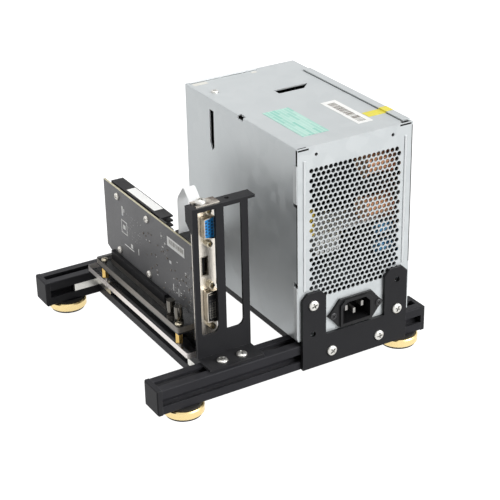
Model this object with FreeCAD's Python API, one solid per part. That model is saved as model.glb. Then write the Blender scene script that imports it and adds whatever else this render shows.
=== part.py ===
import FreeCAD
import Part
import math
import os

Vector = FreeCAD.Vector

# A bench frame of slotted rails that carries a power supply on the right and, on the left,
# an adapter dock with a graphics card whose bracket is screwed to a two-slot stand.
# Millimetres. X runs along the front rail, Y away from the front, Z up from the floor.
# The origin is the middle of the footprint, on the floor.

# Sizes of the slotted rails
rail_size = 20.0
rail_length = 222.0
frame_depth = 210.0
rail_corner_radius = 1.0
rail_bore_radius = 2.1
slot_mouth = 6.2
slot_lip = 1.8
slot_inner_width = 11.4
slot_pocket_wall = 1.5
slot_floor_width = 6.6
slot_depth = 6.2
dock_rail_x = -59.1
supply_rail_offset = -22.0

# Sizes of the end caps
cap_thickness = 4.0
cap_edge = 0.8
cap_peg_length = 8.0
cap_peg_gap = 0.1

# Sizes of the corner connectors inside the slots
connector_leg = 21.0
connector_side_gap = 0.2
connector_recess = 0.3
connector_thickness = 4.0
connector_screw_offset = 13.0
connector_screw_radius = 1.9
connector_screw_recess = 0.4

# Sizes of the feet
foot_radius = 15.0
foot_edge = 0.9
foot_cup_height = 6.5
foot_pad_height = 1.5
foot_pad_inset = 1.6
foot_spacer_height = 1.5
foot_spacer_inset = 2.0
foot_bore_depth = 3.5
front_left_foot_inset = 21.3
front_right_foot_inset = 13.7
rear_left_foot_inset = 18.0
rear_right_foot_inset = 17.7

# Sizes of the screws and of the nuts that slide in the slots
screw_radius = 2.0
screw_head_radius = 4.0
screw_head_height = 2.2
screw_hole_gap = 0.2
thread_gap = 0.1
screw_depth_in_slot = 5.2
nut_length = 10.0
nut_body_thickness = 2.3
nut_body_gap = 1.0
nut_neck_gap = 0.2
nut_seat_gap = 0.1

# Sizes of the plate that holds the supply to the front rail
plate_thickness = 2.5
plate_width = 92.0
plate_height = 62.0
plate_inlet_side_gap = 1.1
plate_inlet_low_gap = 1.1
plate_ear_chamfer = 4.5
plate_rail_screw_spacing = 42.0
plate_supply_hole_spacing = 74.0
plate_supply_hole_rise = 24.0
plate_supply_hole_height = 4.1

# Sizes of the power supply's case
supply_center_x = 48.9
supply_width = 97.2
supply_depth = 158.5
supply_height = 150.0
supply_pad_height = 3.9
supply_pad_inset = 3.0
supply_sheet = 1.0
supply_fit = 0.1
supply_return_depth = 8.0
supply_lip_width = 6.2
supply_lip_front = 4.0
supply_lip_length = 130.0
supply_bend_radius = 0.9
supply_screw_tail = 5.0

# Sizes of the openings in the case
grille_hole_radius = 2.35
grille_pitch = 6.6
grille_offset_x = -1.6
grille_width = 69.0
grille_bottom = 35.0
grille_top_margin = 19.0
panel_hole_radius = 1.3
panel_hole_offset_x = -0.9
panel_hole_spacing = 64.5
panel_hole_drop = 6.6
top_slot_x = 14.6
top_slot_y = 104.2
top_slot_length = 30.0
top_slot_width = 8.0
side_slot_y = 118.5
side_slot_width = 6.0
side_slot_height = 32.0
side_slot_drop = 8.8
edge_notch_y = 76.0
edge_notch_length = 8.0
edge_notch_depth = 3.0
flange_notch_low = 44.0
flange_notch_high = 106.0
flange_notch_depth = 4.0
flange_notch_height = 3.0
cover_screw_x = 9.5
cover_screw_y = 129.5
small_screw_radius = 1.45
small_head_radius = 2.75
small_head_height = 1.8

# Sizes of the mains inlet
inlet_offset_x = 0.5
inlet_height = 13.8
inlet_flange_half_length = 24.4
inlet_flange_half_height = 11.6
inlet_flange_end_radius = 4.6
inlet_flange_thickness = 2.0
inlet_screw_spacing = 40.0
inlet_body_width = 28.0
inlet_body_height = 21.0
inlet_body_corner = 4.0
inlet_body_depth = 21.0
inlet_rim = 1.2
inlet_wall = 2.0
inlet_recess_depth = 17.0
inlet_cut_gap = 0.3
pin_width = 2.0
pin_height = 4.0
pin_length = 13.5
pin_spacing = 14.0
pin_offset = 2.0

# Sizes of what the supply holds inside
board_thickness = 1.6
supply_board_gap = 6.0
supply_board_inset = 10.0
supply_board_front = 9.0
supply_board_length = 116.0
supply_stud_radius = 3.0
coil_radius = 9.0
coil_length = 24.0
coil_flange = 1.2
coil_front = 7.0
coil_shelf_gap = 1.0
coil_pitch = 34.0
bulk_capacitor_radius = 11.0
bulk_capacitor_length = 42.0
bulk_capacitor_heights = (34.0, 62.0)
bulk_capacitor_y = 62.0
blue_capacitor_radius = 4.5
blue_capacitor_length = 12.0
blue_capacitor_drop = 6.0
blue_capacitor_pitch = 15.0
shelf_height = 72.0
shelf_thickness = 2.0
shelf_depth = 28.0
shelf_left_gap = 9.0
shelf_front = 5.0
shelf_fin_height = 14.0
shelf_fin_count = 5
film_capacitor_width = 13.0
film_capacitor_height = 20.0
film_capacitor_depth = 12.0

# Sizes of the supply's cooling fan
fan_size = 80.0
fan_depth = 25.0
fan_top_drop = 55.0
fan_wall = 1.5
fan_corner_radius = 3.0
fan_hole_inset = 4.25
fan_mount_radius = 17.0
fan_mount_thickness = 4.0
fan_strut_width = 5.0
fan_strut_count = 3
fan_hub_radius = 16.0
fan_hub_length = 16.0
fan_end_gap = 1.0
fan_shaft_radius = 1.5
fan_shaft_gap = 0.05
fan_blade_count = 7
fan_tip_gap = 2.3
fan_blade_chord = 17.0
fan_blade_thickness = 1.5
fan_blade_pitch = 40.0
fan_blade_camber = 2.0
fan_blade_overlap = 1.5
guard_slot_width = 6.8
guard_ring_width = 3.0
guard_ring_count = 3
guard_hub_radius = 8.0
guard_spoke_width = 4.0
grommet_radius = 10.0
grommet_hole_radius = 8.0
grommet_flange = 2.0
grommet_height = 22.0
grommet_offset_x = -22.0

# Sizes of the stand that holds the card's bracket
stand_offset_x = 9.9
stand_width = 44.0
stand_thickness = 2.0
stand_front_y = 20.6
stand_base_front = 2.3
stand_ledge_depth = 10.4
stand_ledge_right = 5.8
stand_screw_spacing = 16.0
stand_wing_height = 17.0
stand_wing_taper = 7.0
window_offset_x = -0.55
window_pitch = 20.32
window_width = 14.0
window_bottom = 19.4
window_top_margin = 1.2
window_small_radius = 2.0
window_large_radius = 5.0
clamp_offset_x = -3.5
clamp_offset_y = 5.9
clamp_screw_radius = 1.7

# Sizes of the dock that holds the adapter board
dock_plate_width = 33.2
dock_plate_thickness = 4.5
dock_plate_corner = 2.0
dock_lower_front = 28.0
dock_lower_overlap = 5.0
dock_upper_front = 41.0
dock_upper_length = 136.0
dock_hole_inset_x = 3.4
dock_hole_inset_front = 5.0
dock_hole_inset_back = 9.0
standoff_height = 8.6
standoff_radius = 2.9
dock_screw_bite = 3.5
dock_rail_screw_front = 8.0
dock_rail_screw_back = 7.5
adapter_inset = 0.5
plate_cutout_gap = 0.4

# Sizes of the card edge slot and of the parts round it on the adapter board
edge_slot_length = 89.0
edge_slot_front = 79.5
edge_slot_width = 7.5
edge_slot_height = 11.25
edge_slot_end_wall = 2.35
edge_slot_depth = 8.4
edge_slot_gap = 0.15
adapter_capacitor_radius = 3.15
adapter_capacitor_height = 16.0
adapter_capacitor_x = 6.5
adapter_capacitor_y = (51.5, 63.0)
power_socket_width = 12.0
power_socket_length = 20.0
power_socket_height = 8.0
power_socket_hole = 2.8
power_socket_pitch = 4.6
power_socket_row = 3.8
power_socket_hole_depth = 8.0
power_socket_y = 90.0
link_socket_width = 16.0
link_socket_length = 11.0
link_socket_height = 7.0
link_socket_wall = 1.2
link_socket_hole_depth = 8.5

# Sizes of the graphics card
card_gap_to_bracket = 0.9
card_tail = 12.3
card_height = 56.15
card_edge_offset_x = -4.4
hook_gap = 1.0
hook_foot = 3.7
hook_depth = 3.3
card_lower_gap = 0.25
finger_depth = 8.25
finger_notch_offset = 12.0
finger_notch_width = 2.0
bracket_ledge_gap = 0.2
bracket_thickness = 0.9
bracket_width = 18.4
bracket_offset_x = 2.2
bracket_floor_gap = 0.2
bracket_tongue_height = 5.0
bracket_tongue_width = 10.2
bracket_tab_depth = 9.6
clamp_notch_radius = 2.2
heatsink_front = 91.7
heatsink_length = 82.3
heatsink_height = 54.5
heatsink_base = 2.5
heatsink_depth = 10.1
heatsink_fin = 1.3
heatsink_fin_count = 15
chip_size = 30.0
chip_height = 1.8
memory_length = 14.0
memory_width = 11.0
memory_height = 1.1
heatsink_screw_spacing_y = 49.4
heatsink_screw_spacing_z = 45.5
heatsink_screw_drop = 6.5
heatsink_screw_radius = 1.4
heatsink_screw_head = 2.8
heatsink_screw_bite = 2.0

# Sizes of the video sockets
socket_reach = 5.7
socket_skin = 0.6
socket_flange_thickness = 1.0
socket_hole_gap = 0.2
analog_offset_x = 4.6
analog_rise = 17.15
analog_ledge_gap = 19.4
analog_length = 17.0
analog_width = 8.4
analog_slant = 1.2
analog_flange_length = 30.5
analog_flange_width = 12.0
analog_screw_spacing = 25.0
analog_body_depth = 5.3
compact_offset_x = 2.7
compact_rise = 42.1
compact_length = 15.0
compact_width = 5.6
compact_depth = 10.0
compact_wall = 0.6
wide_offset_x = 5.2
wide_rise = 11.6
wide_length = 25.5
wide_width = 9.0
wide_slant = 1.0
wide_flange_length = 38.0
wide_flange_width = 10.6
wide_screw_spacing = 33.0
wide_body_depth = 17.0
insert_recess = 0.8
jack_radius = 2.6
jack_length = 5.0
jack_stud_radius = 1.4
jack_bore_radius = 1.2
jack_bore_depth = 3.0

# Sizes of the flat cable from the card to its upper socket
ribbon_width = 9.0
ribbon_thickness = 1.2
ribbon_side_shift = 0.4
ribbon_front_drop = 5.6
ribbon_rise = 13.4
ribbon_radius = 10.5
header_front_gap = 0.9
header_height = 13.5
header_rise = 1.05
header_width = 10.6
header_end_margin = 6.0

# Overshoot for every cutting tool
cut_margin = 1.0


def box(x0, x1, y0, y1, z0, z1):
    return Part.makeBox(x1 - x0, y1 - y0, z1 - z0, Vector(x0, y0, z0))


def rod(radius, length, start, direction):
    return Part.makeCylinder(radius, length, start, direction)


def prism(points, travel):
    wire = Part.makePolygon(points + [points[0]])
    return Part.Face(wire).extrude(travel)


def fuse(pieces):
    whole = pieces[0]
    for piece in pieces[1:]:
        whole = whole.fuse(piece)
    return whole.removeSplitter()


def cut(whole, tools):
    for tool in tools:
        whole = whole.cut(tool)
    return whole


def block(origin, axes, ranges):
    """A box given by its ranges along three row axes that meet at origin."""
    low = Vector(origin)
    high = Vector(origin)
    for axis, (start, end) in zip(axes, ranges):
        low = low + axis * start
        high = high + axis * end
    x0, x1 = sorted((low.x, high.x))
    y0, y1 = sorted((low.y, high.y))
    z0, z1 = sorted((low.z, high.z))
    return box(x0, x1, y0, y1, z0, z1)


def screw(seat, outward, radius, length, head_radius, head_height):
    """A screw whose head stands on seat and whose shank goes the other way."""
    head = rod(head_radius, head_height, seat, outward)
    shank = rod(radius, length, seat, outward * -1)
    return fuse([head, shank])


def hexagon(center, radius, first, second, turn=0.0):
    points = []
    for corner in range(6):
        angle = math.radians(60.0 * corner + turn)
        points.append(center + first * (radius * math.cos(angle)) + second * (radius * math.sin(angle)))
    return points


X_AXIS = Vector(1, 0, 0)
Y_AXIS = Vector(0, 1, 0)
Z_AXIS = Vector(0, 0, 1)

# Levels and faces that the pieces share
rail_bottom = foot_pad_height + foot_cup_height + foot_spacer_height
rail_mid = rail_bottom + rail_size / 2
rail_top = rail_bottom + rail_size
front_face = -frame_depth / 2
rear_face = front_face + frame_depth
front_inner = front_face + rail_size
rear_inner = rear_face - rail_size
cross_length = frame_depth - 2 * rail_size
screw_hole = screw_radius + screw_hole_gap
small_hole = small_screw_radius + screw_hole_gap
thread_hole = screw_radius + thread_gap
small_thread_hole = small_screw_radius + thread_gap

supply_rail_x = supply_center_x + supply_rail_offset
supply_left = supply_center_x - supply_width / 2
supply_right = supply_left + supply_width
supply_back = front_face + supply_depth
supply_floor = rail_top + supply_pad_height
supply_top = supply_floor + supply_height
inlet_x = supply_center_x + inlet_offset_x
inlet_z = supply_floor + inlet_height

stand_center_x = dock_rail_x + stand_offset_x
stand_left = stand_center_x - stand_width / 2
stand_right = stand_left + stand_width
stand_front = front_face + stand_front_y
stand_back = stand_front + stand_thickness
window_x = stand_center_x + window_offset_x - window_pitch / 2
spare_window_x = window_x + window_pitch

dock_left = dock_rail_x - dock_plate_width / 2
dock_right = dock_left + dock_plate_width
lower_front = front_face + dock_lower_front
dock_lower_length = rear_inner + dock_lower_overlap - lower_front
lower_top = rail_top + dock_plate_thickness
upper_front = front_face + dock_upper_front
upper_back = upper_front + dock_upper_length
adapter_bottom = lower_top + standoff_height
adapter_top = adapter_bottom + board_thickness
upper_top = adapter_top + dock_plate_thickness
edge_slot_top = adapter_top + edge_slot_height

ledge_back = stand_front + stand_ledge_depth
bracket_x = window_x + bracket_offset_x
bracket_front = ledge_back + bracket_ledge_gap
bracket_back = bracket_front + bracket_thickness
card_left = bracket_x + card_edge_offset_x - board_thickness / 2
card_right = card_left + board_thickness
card_front = bracket_back + card_gap_to_bracket
card_bottom = edge_slot_top + card_lower_gap
card_top = card_bottom + card_height
analog_z = card_top + analog_rise
compact_z = card_bottom + compact_rise
wide_z = card_bottom + wide_rise
stand_top = analog_z + analog_ledge_gap
slot_front = front_face + edge_slot_front
slot_back = slot_front + edge_slot_length
card_back = slot_back + card_tail

parts = {}


# Slotted rails
def rail(length, center, along):
    """A bar with a T-slot in each face and a bore, from center along one row axis."""
    half = rail_size / 2
    bar = box(-half, half, -half, half, 0, length)
    long_edges = [edge for edge in bar.Edges if abs(edge.BoundBox.ZLength - length) < cut_margin]
    bar = bar.makeFillet(rail_corner_radius, long_edges)
    mouth = slot_mouth / 2
    pocket = slot_inner_width / 2
    floor = slot_floor_width / 2
    side = [
        (mouth, half + cut_margin),
        (mouth, half - slot_lip),
        (pocket, half - slot_lip),
        (pocket, half - slot_lip - slot_pocket_wall),
        (floor, half - slot_depth),
    ]
    outline = [Vector(u, v, 0) for u, v in side]
    outline += [Vector(-u, v, 0) for u, v in reversed(side)]
    slot = prism(outline, Vector(0, 0, length))
    for quarter in range(4):
        turned = slot.copy()
        turned.rotate(Vector(0, 0, 0), Z_AXIS, 90.0 * quarter)
        bar = bar.cut(turned)
    bar = bar.cut(rod(rail_bore_radius, length, Vector(0, 0, 0), Z_AXIS))
    bar.Placement = FreeCAD.Placement(center, FreeCAD.Rotation(Z_AXIS, along))
    return bar


front_mid = front_face + rail_size / 2
rear_mid = rear_face - rail_size / 2
parts["front_rail"] = rail(rail_length, Vector(-rail_length / 2, front_mid, rail_mid), X_AXIS)
parts["rear_rail"] = rail(rail_length, Vector(-rail_length / 2, rear_mid, rail_mid), X_AXIS)
parts["dock_rail"] = rail(cross_length, Vector(dock_rail_x, front_inner, rail_mid), Y_AXIS)
parts["supply_rail"] = rail(cross_length, Vector(supply_rail_x, front_inner, rail_mid), Y_AXIS)


# End caps
def end_cap(side, y_mid):
    half = rail_size / 2
    inner = side * rail_length / 2
    outer = inner + side * cap_thickness
    x0, x1 = sorted((inner, outer))
    cap = box(x0, x1, y_mid - half, y_mid + half, rail_bottom, rail_top)
    outer_edges = [edge for edge in cap.Edges if abs(edge.CenterOfMass.x - outer) < cap_edge]
    cap = cap.makeChamfer(cap_edge, outer_edges)
    peg_start = Vector(inner, y_mid, rail_mid)
    peg = rod(rail_bore_radius - cap_peg_gap, cap_peg_length, peg_start, X_AXIS * -side)
    return fuse([cap, peg])


cap_seats = [(side, y_mid) for y_mid in (front_mid, rear_mid) for side in (-1, 1)]
parts["end_caps"] = Part.makeCompound([end_cap(side, y_mid) for side, y_mid in cap_seats])


# Corner connectors and their set screws
def connector(rail_x, side, end):
    """One bent piece with a leg in a cross rail's slot and a leg in a long rail's slot."""
    corner_y = front_inner if end < 0 else rear_inner
    corner = Vector(rail_x + side * rail_size / 2, corner_y, rail_mid)
    axes = (X_AXIS * side, Y_AXIS * end, Z_AXIS)
    half = slot_mouth / 2 - connector_side_gap
    inner = connector_recess + connector_thickness
    cross_leg = block(corner, axes, ((-inner, -connector_recess), (-connector_leg, inner), (-half, half)))
    long_leg = block(corner, axes, ((-inner, connector_leg), (connector_recess, inner), (-half, half)))
    holes = []
    screws = []
    seats = (
        (corner - axes[1] * connector_screw_offset, axes[0] * -1),
        (corner + axes[0] * connector_screw_offset, axes[1]),
    )
    reach = slot_depth - connector_screw_recess
    for seat, inward in seats:
        holes.append(rod(connector_screw_radius + thread_gap, slot_depth, seat, inward))
        start = seat + inward * connector_screw_recess
        screws.append(rod(connector_screw_radius, reach, start, inward))
    return cut(fuse([cross_leg, long_leg]), holes), screws


connectors = []
set_screws = []
for cross_x in (dock_rail_x, supply_rail_x):
    for side in (-1, 1):
        for end in (-1, 1):
            piece, pair = connector(cross_x, side, end)
            connectors.append(piece)
            set_screws += pair
parts["corner_connectors"] = Part.makeCompound(connectors)
parts["connector_set_screws"] = Part.makeCompound(set_screws)


# Nuts that slide in the slots
def slot_nut(seat, outward, along):
    """A T-shaped nut under a rail face, with a thread below seat."""
    across = outward.cross(along)
    axes = (across, outward, along)
    body_half = slot_inner_width / 2 - nut_body_gap
    neck_half = slot_mouth / 2 - nut_neck_gap
    body_top = slot_lip + nut_seat_gap
    body_bottom = body_top + nut_body_thickness
    length = (-nut_length / 2, nut_length / 2)
    body = block(seat, axes, ((-body_half, body_half), (-body_bottom, -body_top), length))
    neck = block(seat, axes, ((-neck_half, neck_half), (-body_top, -nut_neck_gap), length))
    thread = rod(thread_hole, body_bottom + cut_margin, seat, outward * -1)
    return fuse([body, neck]).cut(thread)


slot_nuts = []

# Feet
foot_seats = {
    "front_left": (front_left_foot_inset - rail_length / 2, front_mid),
    "front_right": (rail_length / 2 - front_right_foot_inset, front_mid),
    "rear_left": (rear_left_foot_inset - rail_length / 2, rear_mid),
    "rear_right": (rail_length / 2 - rear_right_foot_inset, rear_mid),
}
cup_bottom = foot_pad_height
cup_top = cup_bottom + foot_cup_height


def foot_cup(x, y):
    """A turned cup with chamfered rims and a bore for the screw's head from below."""
    profile = [
        Vector(screw_hole, 0, cup_bottom + foot_bore_depth),
        Vector(screw_head_radius + screw_hole_gap, 0, cup_bottom + foot_bore_depth),
        Vector(screw_head_radius + screw_hole_gap, 0, cup_bottom),
        Vector(foot_radius - foot_edge, 0, cup_bottom),
        Vector(foot_radius, 0, cup_bottom + foot_edge),
        Vector(foot_radius, 0, cup_top - foot_edge),
        Vector(foot_radius - foot_edge, 0, cup_top),
        Vector(screw_hole, 0, cup_top),
    ]
    face = Part.Face(Part.makePolygon(profile + [profile[0]]))
    cup = face.revolve(Vector(0, 0, 0), Z_AXIS, 360.0)
    cup.translate(Vector(x, y, 0))
    return cup


foot_pads = []
foot_spacers = []
foot_screws = []
for place, (x, y) in foot_seats.items():
    parts["foot_cup_" + place] = foot_cup(x, y)
    pad = rod(foot_radius - foot_pad_inset, foot_pad_height, Vector(x, y, 0), Z_AXIS)
    pad_hole = rod(screw_head_radius + screw_hole_gap, foot_pad_height, Vector(x, y, 0), Z_AXIS)
    foot_pads.append(pad.cut(pad_hole))
    spacer = rod(foot_radius - foot_spacer_inset, foot_spacer_height, Vector(x, y, cup_top), Z_AXIS)
    spacer_hole = rod(screw_hole, foot_spacer_height, Vector(x, y, cup_top), Z_AXIS)
    foot_spacers.append(spacer.cut(spacer_hole))
    head_seat = Vector(x, y, cup_bottom + foot_bore_depth)
    shank = rail_bottom + screw_depth_in_slot - head_seat.z
    foot_screws.append(screw(head_seat, Z_AXIS * -1, screw_radius, shank, screw_head_radius, screw_head_height))
    slot_nuts.append(slot_nut(Vector(x, y, rail_bottom), Z_AXIS * -1, X_AXIS))
parts["foot_pads"] = Part.makeCompound(foot_pads)
parts["foot_spacers"] = Part.makeCompound(foot_spacers)
parts["foot_screws"] = Part.makeCompound(foot_screws)

# Supply plate, with one screw and one free hole on each ear
half_width = plate_width / 2
gap_half = inlet_flange_half_length + abs(inlet_offset_x) + plate_inlet_side_gap
plate_top = rail_bottom + plate_height
plate_gap_floor = inlet_z - inlet_flange_half_height - plate_inlet_low_gap
chamfer = plate_ear_chamfer
right_half = [
    (half_width, rail_bottom),
    (half_width, plate_top - chamfer),
    (half_width - chamfer, plate_top),
    (gap_half + chamfer, plate_top),
    (gap_half, plate_top - chamfer),
    (gap_half, plate_gap_floor),
]
outline = [Vector(supply_center_x + u, front_face, v) for u, v in right_half]
outline += [Vector(supply_center_x - u, front_face, v) for u, v in reversed(right_half)]
plate = prism(outline, Y_AXIS * -plate_thickness)
supply_hole_low = supply_floor + plate_supply_hole_height
supply_hole_high = supply_hole_low + plate_supply_hole_rise
hole_left = supply_center_x - plate_supply_hole_spacing / 2
hole_right = supply_center_x + plate_supply_hole_spacing / 2
supply_holes = [(x, z) for x in (hole_left, hole_right) for z in (supply_hole_low, supply_hole_high)]
used_supply_holes = [(hole_left, supply_hole_high), (hole_right, supply_hole_low)]
rail_screw_half = plate_rail_screw_spacing / 2
rail_holes = [(supply_center_x - rail_screw_half, rail_mid), (supply_center_x + rail_screw_half, rail_mid)]
plate_front = front_face - plate_thickness
for x, z in supply_holes + rail_holes:
    plate = plate.cut(rod(screw_hole, plate_thickness, Vector(x, plate_front, z), Y_AXIS))
parts["supply_plate"] = plate
plate_screws = []
for x, z in used_supply_holes:
    length = plate_thickness + supply_sheet + supply_screw_tail
    seat = Vector(x, plate_front, z)
    plate_screws.append(screw(seat, Y_AXIS * -1, screw_radius, length, screw_head_radius, screw_head_height))
for x, z in rail_holes:
    length = plate_thickness + screw_depth_in_slot
    seat = Vector(x, plate_front, z)
    plate_screws.append(screw(seat, Y_AXIS * -1, screw_radius, length, screw_head_radius, screw_head_height))
    slot_nuts.append(slot_nut(Vector(x, front_face, z), Y_AXIS * -1, X_AXIS))
parts["supply_plate_screws"] = Part.makeCompound(plate_screws)

# Rubber strips under the supply
pad_half = rail_size / 2 - supply_pad_inset
front_pad = box(
    supply_left + rail_size, supply_right - rail_size,
    front_mid - pad_half, front_mid + pad_half,
    rail_top, supply_floor,
)
rear_pad = box(
    supply_rail_x - pad_half, supply_rail_x + pad_half,
    front_inner + rail_size, supply_back - rail_size,
    rail_top, supply_floor,
)
parts["supply_pads"] = Part.makeCompound([front_pad, rear_pad])

# Card stand: base flange forward, two windows, ledge and left wing folded back
base_front = front_face + stand_base_front
stand_base = box(stand_left, stand_right, base_front, stand_back, rail_top, rail_top + stand_thickness)
upright = box(stand_left, stand_right, stand_front, stand_back, rail_top, stand_top)
ledge_right = stand_right + stand_ledge_right
ledge_bottom = stand_top - stand_thickness
ledge = box(stand_left, ledge_right, stand_front, ledge_back, ledge_bottom, stand_top)
wing_low = ledge_bottom - stand_wing_height
wing_outline = [
    Vector(stand_left, stand_front, ledge_bottom),
    Vector(stand_left, ledge_back, ledge_bottom),
    Vector(stand_left, ledge_back, wing_low + stand_wing_taper),
    Vector(stand_left, stand_back, wing_low),
    Vector(stand_left, stand_front, wing_low),
]
wing = prism(wing_outline, X_AXIS * stand_thickness)
stand = fuse([stand_base, upright, ledge, wing])
window_low = rail_top + window_bottom
window_high = ledge_bottom - window_top_margin


def window(center_x):
    """A window cutter with a small round at its lower left and a large one at its lower right."""
    left = center_x - window_width / 2
    right = center_x + window_width / 2
    y0 = stand_front - cut_margin
    cutter = box(left, right, y0, stand_back + cut_margin, window_low, window_high)
    for corner_x, radius in ((left, window_small_radius), (right, window_large_radius)):
        corner = [
            edge for edge in cutter.Edges
            if edge.BoundBox.YLength > stand_thickness and abs(edge.CenterOfMass.x - corner_x) < thread_gap
            and abs(edge.CenterOfMass.z - window_low) < thread_gap
        ]
        cutter = cutter.makeFillet(radius, corner)
    return cutter


clamp_x = bracket_x + clamp_offset_x
clamp_y = stand_front + clamp_offset_y
clamp_hole = clamp_screw_radius + thread_gap
stand = cut(stand, [window(window_x), window(spare_window_x)])
for x in (clamp_x, clamp_x + window_pitch):
    stand = stand.cut(rod(clamp_hole, stand_thickness, Vector(x, clamp_y, ledge_bottom), Z_AXIS))
stand_screws = []
for x in (stand_center_x - stand_screw_spacing / 2, stand_center_x + stand_screw_spacing / 2):
    stand = stand.cut(rod(screw_hole, stand_thickness, Vector(x, front_mid, rail_top), Z_AXIS))
    seat = Vector(x, front_mid, rail_top + stand_thickness)
    length = stand_thickness + screw_depth_in_slot
    stand_screws.append(screw(seat, Z_AXIS, screw_radius, length, screw_head_radius, screw_head_height))
    slot_nuts.append(slot_nut(Vector(x, front_mid, rail_top), Z_AXIS, X_AXIS))
parts["card_stand"] = stand
parts["stand_screws"] = Part.makeCompound(stand_screws)

# Dock: two clear plates on standoffs, screwed to the dock rail
standoff_x = (dock_left + dock_hole_inset_x, dock_right - dock_hole_inset_x)
standoff_y = (upper_front + dock_hole_inset_front, upper_back - dock_hole_inset_back)
standoff_seats = [(x, y) for x in standoff_x for y in standoff_y]
dock_screw_y = (
    lower_front + dock_rail_screw_front,
    rear_inner - dock_rail_screw_back,
)


def dock_plate(front, length, bottom):
    plate = box(dock_left, dock_right, front, front + length, bottom, bottom + dock_plate_thickness)
    corners = [edge for edge in plate.Edges if edge.BoundBox.ZLength > dock_plate_thickness / 2]
    plate = plate.makeFillet(dock_plate_corner, corners)
    for x, y in standoff_seats:
        plate = plate.cut(rod(small_hole, dock_plate_thickness, Vector(x, y, bottom), Z_AXIS))
    return plate


lower_plate = dock_plate(lower_front, dock_lower_length, rail_top)
dock_screws = []
for y in dock_screw_y:
    lower_plate = lower_plate.cut(rod(screw_hole, dock_plate_thickness, Vector(dock_rail_x, y, rail_top), Z_AXIS))
    length = dock_plate_thickness + screw_depth_in_slot
    seat = Vector(dock_rail_x, y, lower_top)
    dock_screws.append(screw(seat, Z_AXIS, screw_radius, length, screw_head_radius, screw_head_height))
    slot_nuts.append(slot_nut(Vector(dock_rail_x, y, rail_top), Z_AXIS, Y_AXIS))
parts["dock_lower_plate"] = lower_plate
card_mid = (card_left + card_right) / 2
slot_half = edge_slot_width / 2
cutout_half = slot_half + plate_cutout_gap
upper_plate = dock_plate(upper_front, dock_upper_length, adapter_top)
upper_plate = upper_plate.cut(box(
    card_mid - cutout_half, card_mid + cutout_half,
    slot_front - plate_cutout_gap, slot_back + plate_cutout_gap, adapter_top, upper_top,
))
capacitor_seats = [
    Vector(dock_left + adapter_capacitor_x, front_face + y, adapter_top) for y in adapter_capacitor_y
]
for seat in capacitor_seats:
    hole = rod(adapter_capacitor_radius + plate_cutout_gap, dock_plate_thickness, seat, Z_AXIS)
    upper_plate = upper_plate.cut(hole)
parts["dock_upper_plate"] = upper_plate
parts["slot_nuts"] = Part.makeCompound(slot_nuts)

standoffs = []
for x, y in standoff_seats:
    post = prism(hexagon(Vector(x, y, lower_top), standoff_radius, X_AXIS, Y_AXIS), Z_AXIS * standoff_height)
    standoffs.append(post.cut(rod(small_thread_hole, standoff_height, Vector(x, y, lower_top), Z_AXIS)))
    low_seat = Vector(x, y, rail_top)
    low_length = dock_plate_thickness + dock_screw_bite
    dock_screws.append(
        screw(low_seat, Z_AXIS * -1, small_screw_radius, low_length, small_head_radius, small_head_height)
    )
    high_seat = Vector(x, y, upper_top)
    high_length = board_thickness + dock_plate_thickness + dock_screw_bite
    dock_screws.append(
        screw(high_seat, Z_AXIS, small_screw_radius, high_length, small_head_radius, small_head_height)
    )
parts["dock_standoffs"] = Part.makeCompound(standoffs)
parts["dock_screws"] = Part.makeCompound(dock_screws)

# Adapter board under the upper plate, with its slot and capacitors on top and sockets below
adapter_right = dock_right - adapter_inset
adapter_back = upper_back - adapter_inset
adapter = box(
    dock_left + adapter_inset, adapter_right, upper_front + adapter_inset, adapter_back, adapter_bottom, adapter_top
)
for x, y in standoff_seats:
    adapter = adapter.cut(rod(small_hole, board_thickness, Vector(x, y, adapter_bottom), Z_AXIS))
parts["adapter_board"] = adapter

finger_front = slot_front + edge_slot_end_wall + edge_slot_gap
finger_back = slot_back - edge_slot_end_wall - edge_slot_gap
notch_front = finger_front + finger_notch_offset
notch_back = notch_front + finger_notch_width
edge_slot = box(card_mid - slot_half, card_mid + slot_half, slot_front, slot_back, adapter_top, edge_slot_top)
groove_half = board_thickness / 2 + edge_slot_gap
groove_floor = edge_slot_top - edge_slot_depth
groove_spans = (
    (slot_front + edge_slot_end_wall, notch_front + edge_slot_gap),
    (notch_back - edge_slot_gap, slot_back - edge_slot_end_wall),
)
for start, end in groove_spans:
    edge_slot = edge_slot.cut(
        box(card_mid - groove_half, card_mid + groove_half, start, end, groove_floor, edge_slot_top + cut_margin)
    )
parts["card_edge_slot"] = edge_slot

parts["adapter_capacitors"] = Part.makeCompound(
    [rod(adapter_capacitor_radius, adapter_capacitor_height, seat, Z_AXIS) for seat in capacitor_seats]
)

power_front = front_face + power_socket_y
power_left = adapter_right - power_socket_width
power_low = adapter_bottom - power_socket_height
power_socket = box(
    power_left, adapter_right, power_front, power_front + power_socket_length, power_low, adapter_bottom
)
hole_half = power_socket_hole / 2
for column in (-1.5, -0.5, 0.5, 1.5):
    for row in (-0.5, 0.5):
        y = power_front + power_socket_length / 2 + column * power_socket_pitch
        z = adapter_bottom - power_socket_height / 2 + row * power_socket_row
        pocket = box(
            adapter_right - power_socket_hole_depth, adapter_right,
            y - hole_half, y + hole_half, z - hole_half, z + hole_half,
        )
        power_socket = power_socket.cut(pocket)
parts["adapter_power_socket"] = power_socket
link_half = link_socket_width / 2
link_low = adapter_bottom - link_socket_height
link_socket = box(
    dock_rail_x - link_half, dock_rail_x + link_half,
    adapter_back - link_socket_length, adapter_back, link_low, adapter_bottom,
)
link_hole = box(
    dock_rail_x - link_half + link_socket_wall, dock_rail_x + link_half - link_socket_wall,
    adapter_back - link_socket_hole_depth, adapter_back,
    link_low + link_socket_wall, adapter_bottom - link_socket_wall,
)
parts["host_link_socket"] = link_socket.cut(link_hole)

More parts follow.
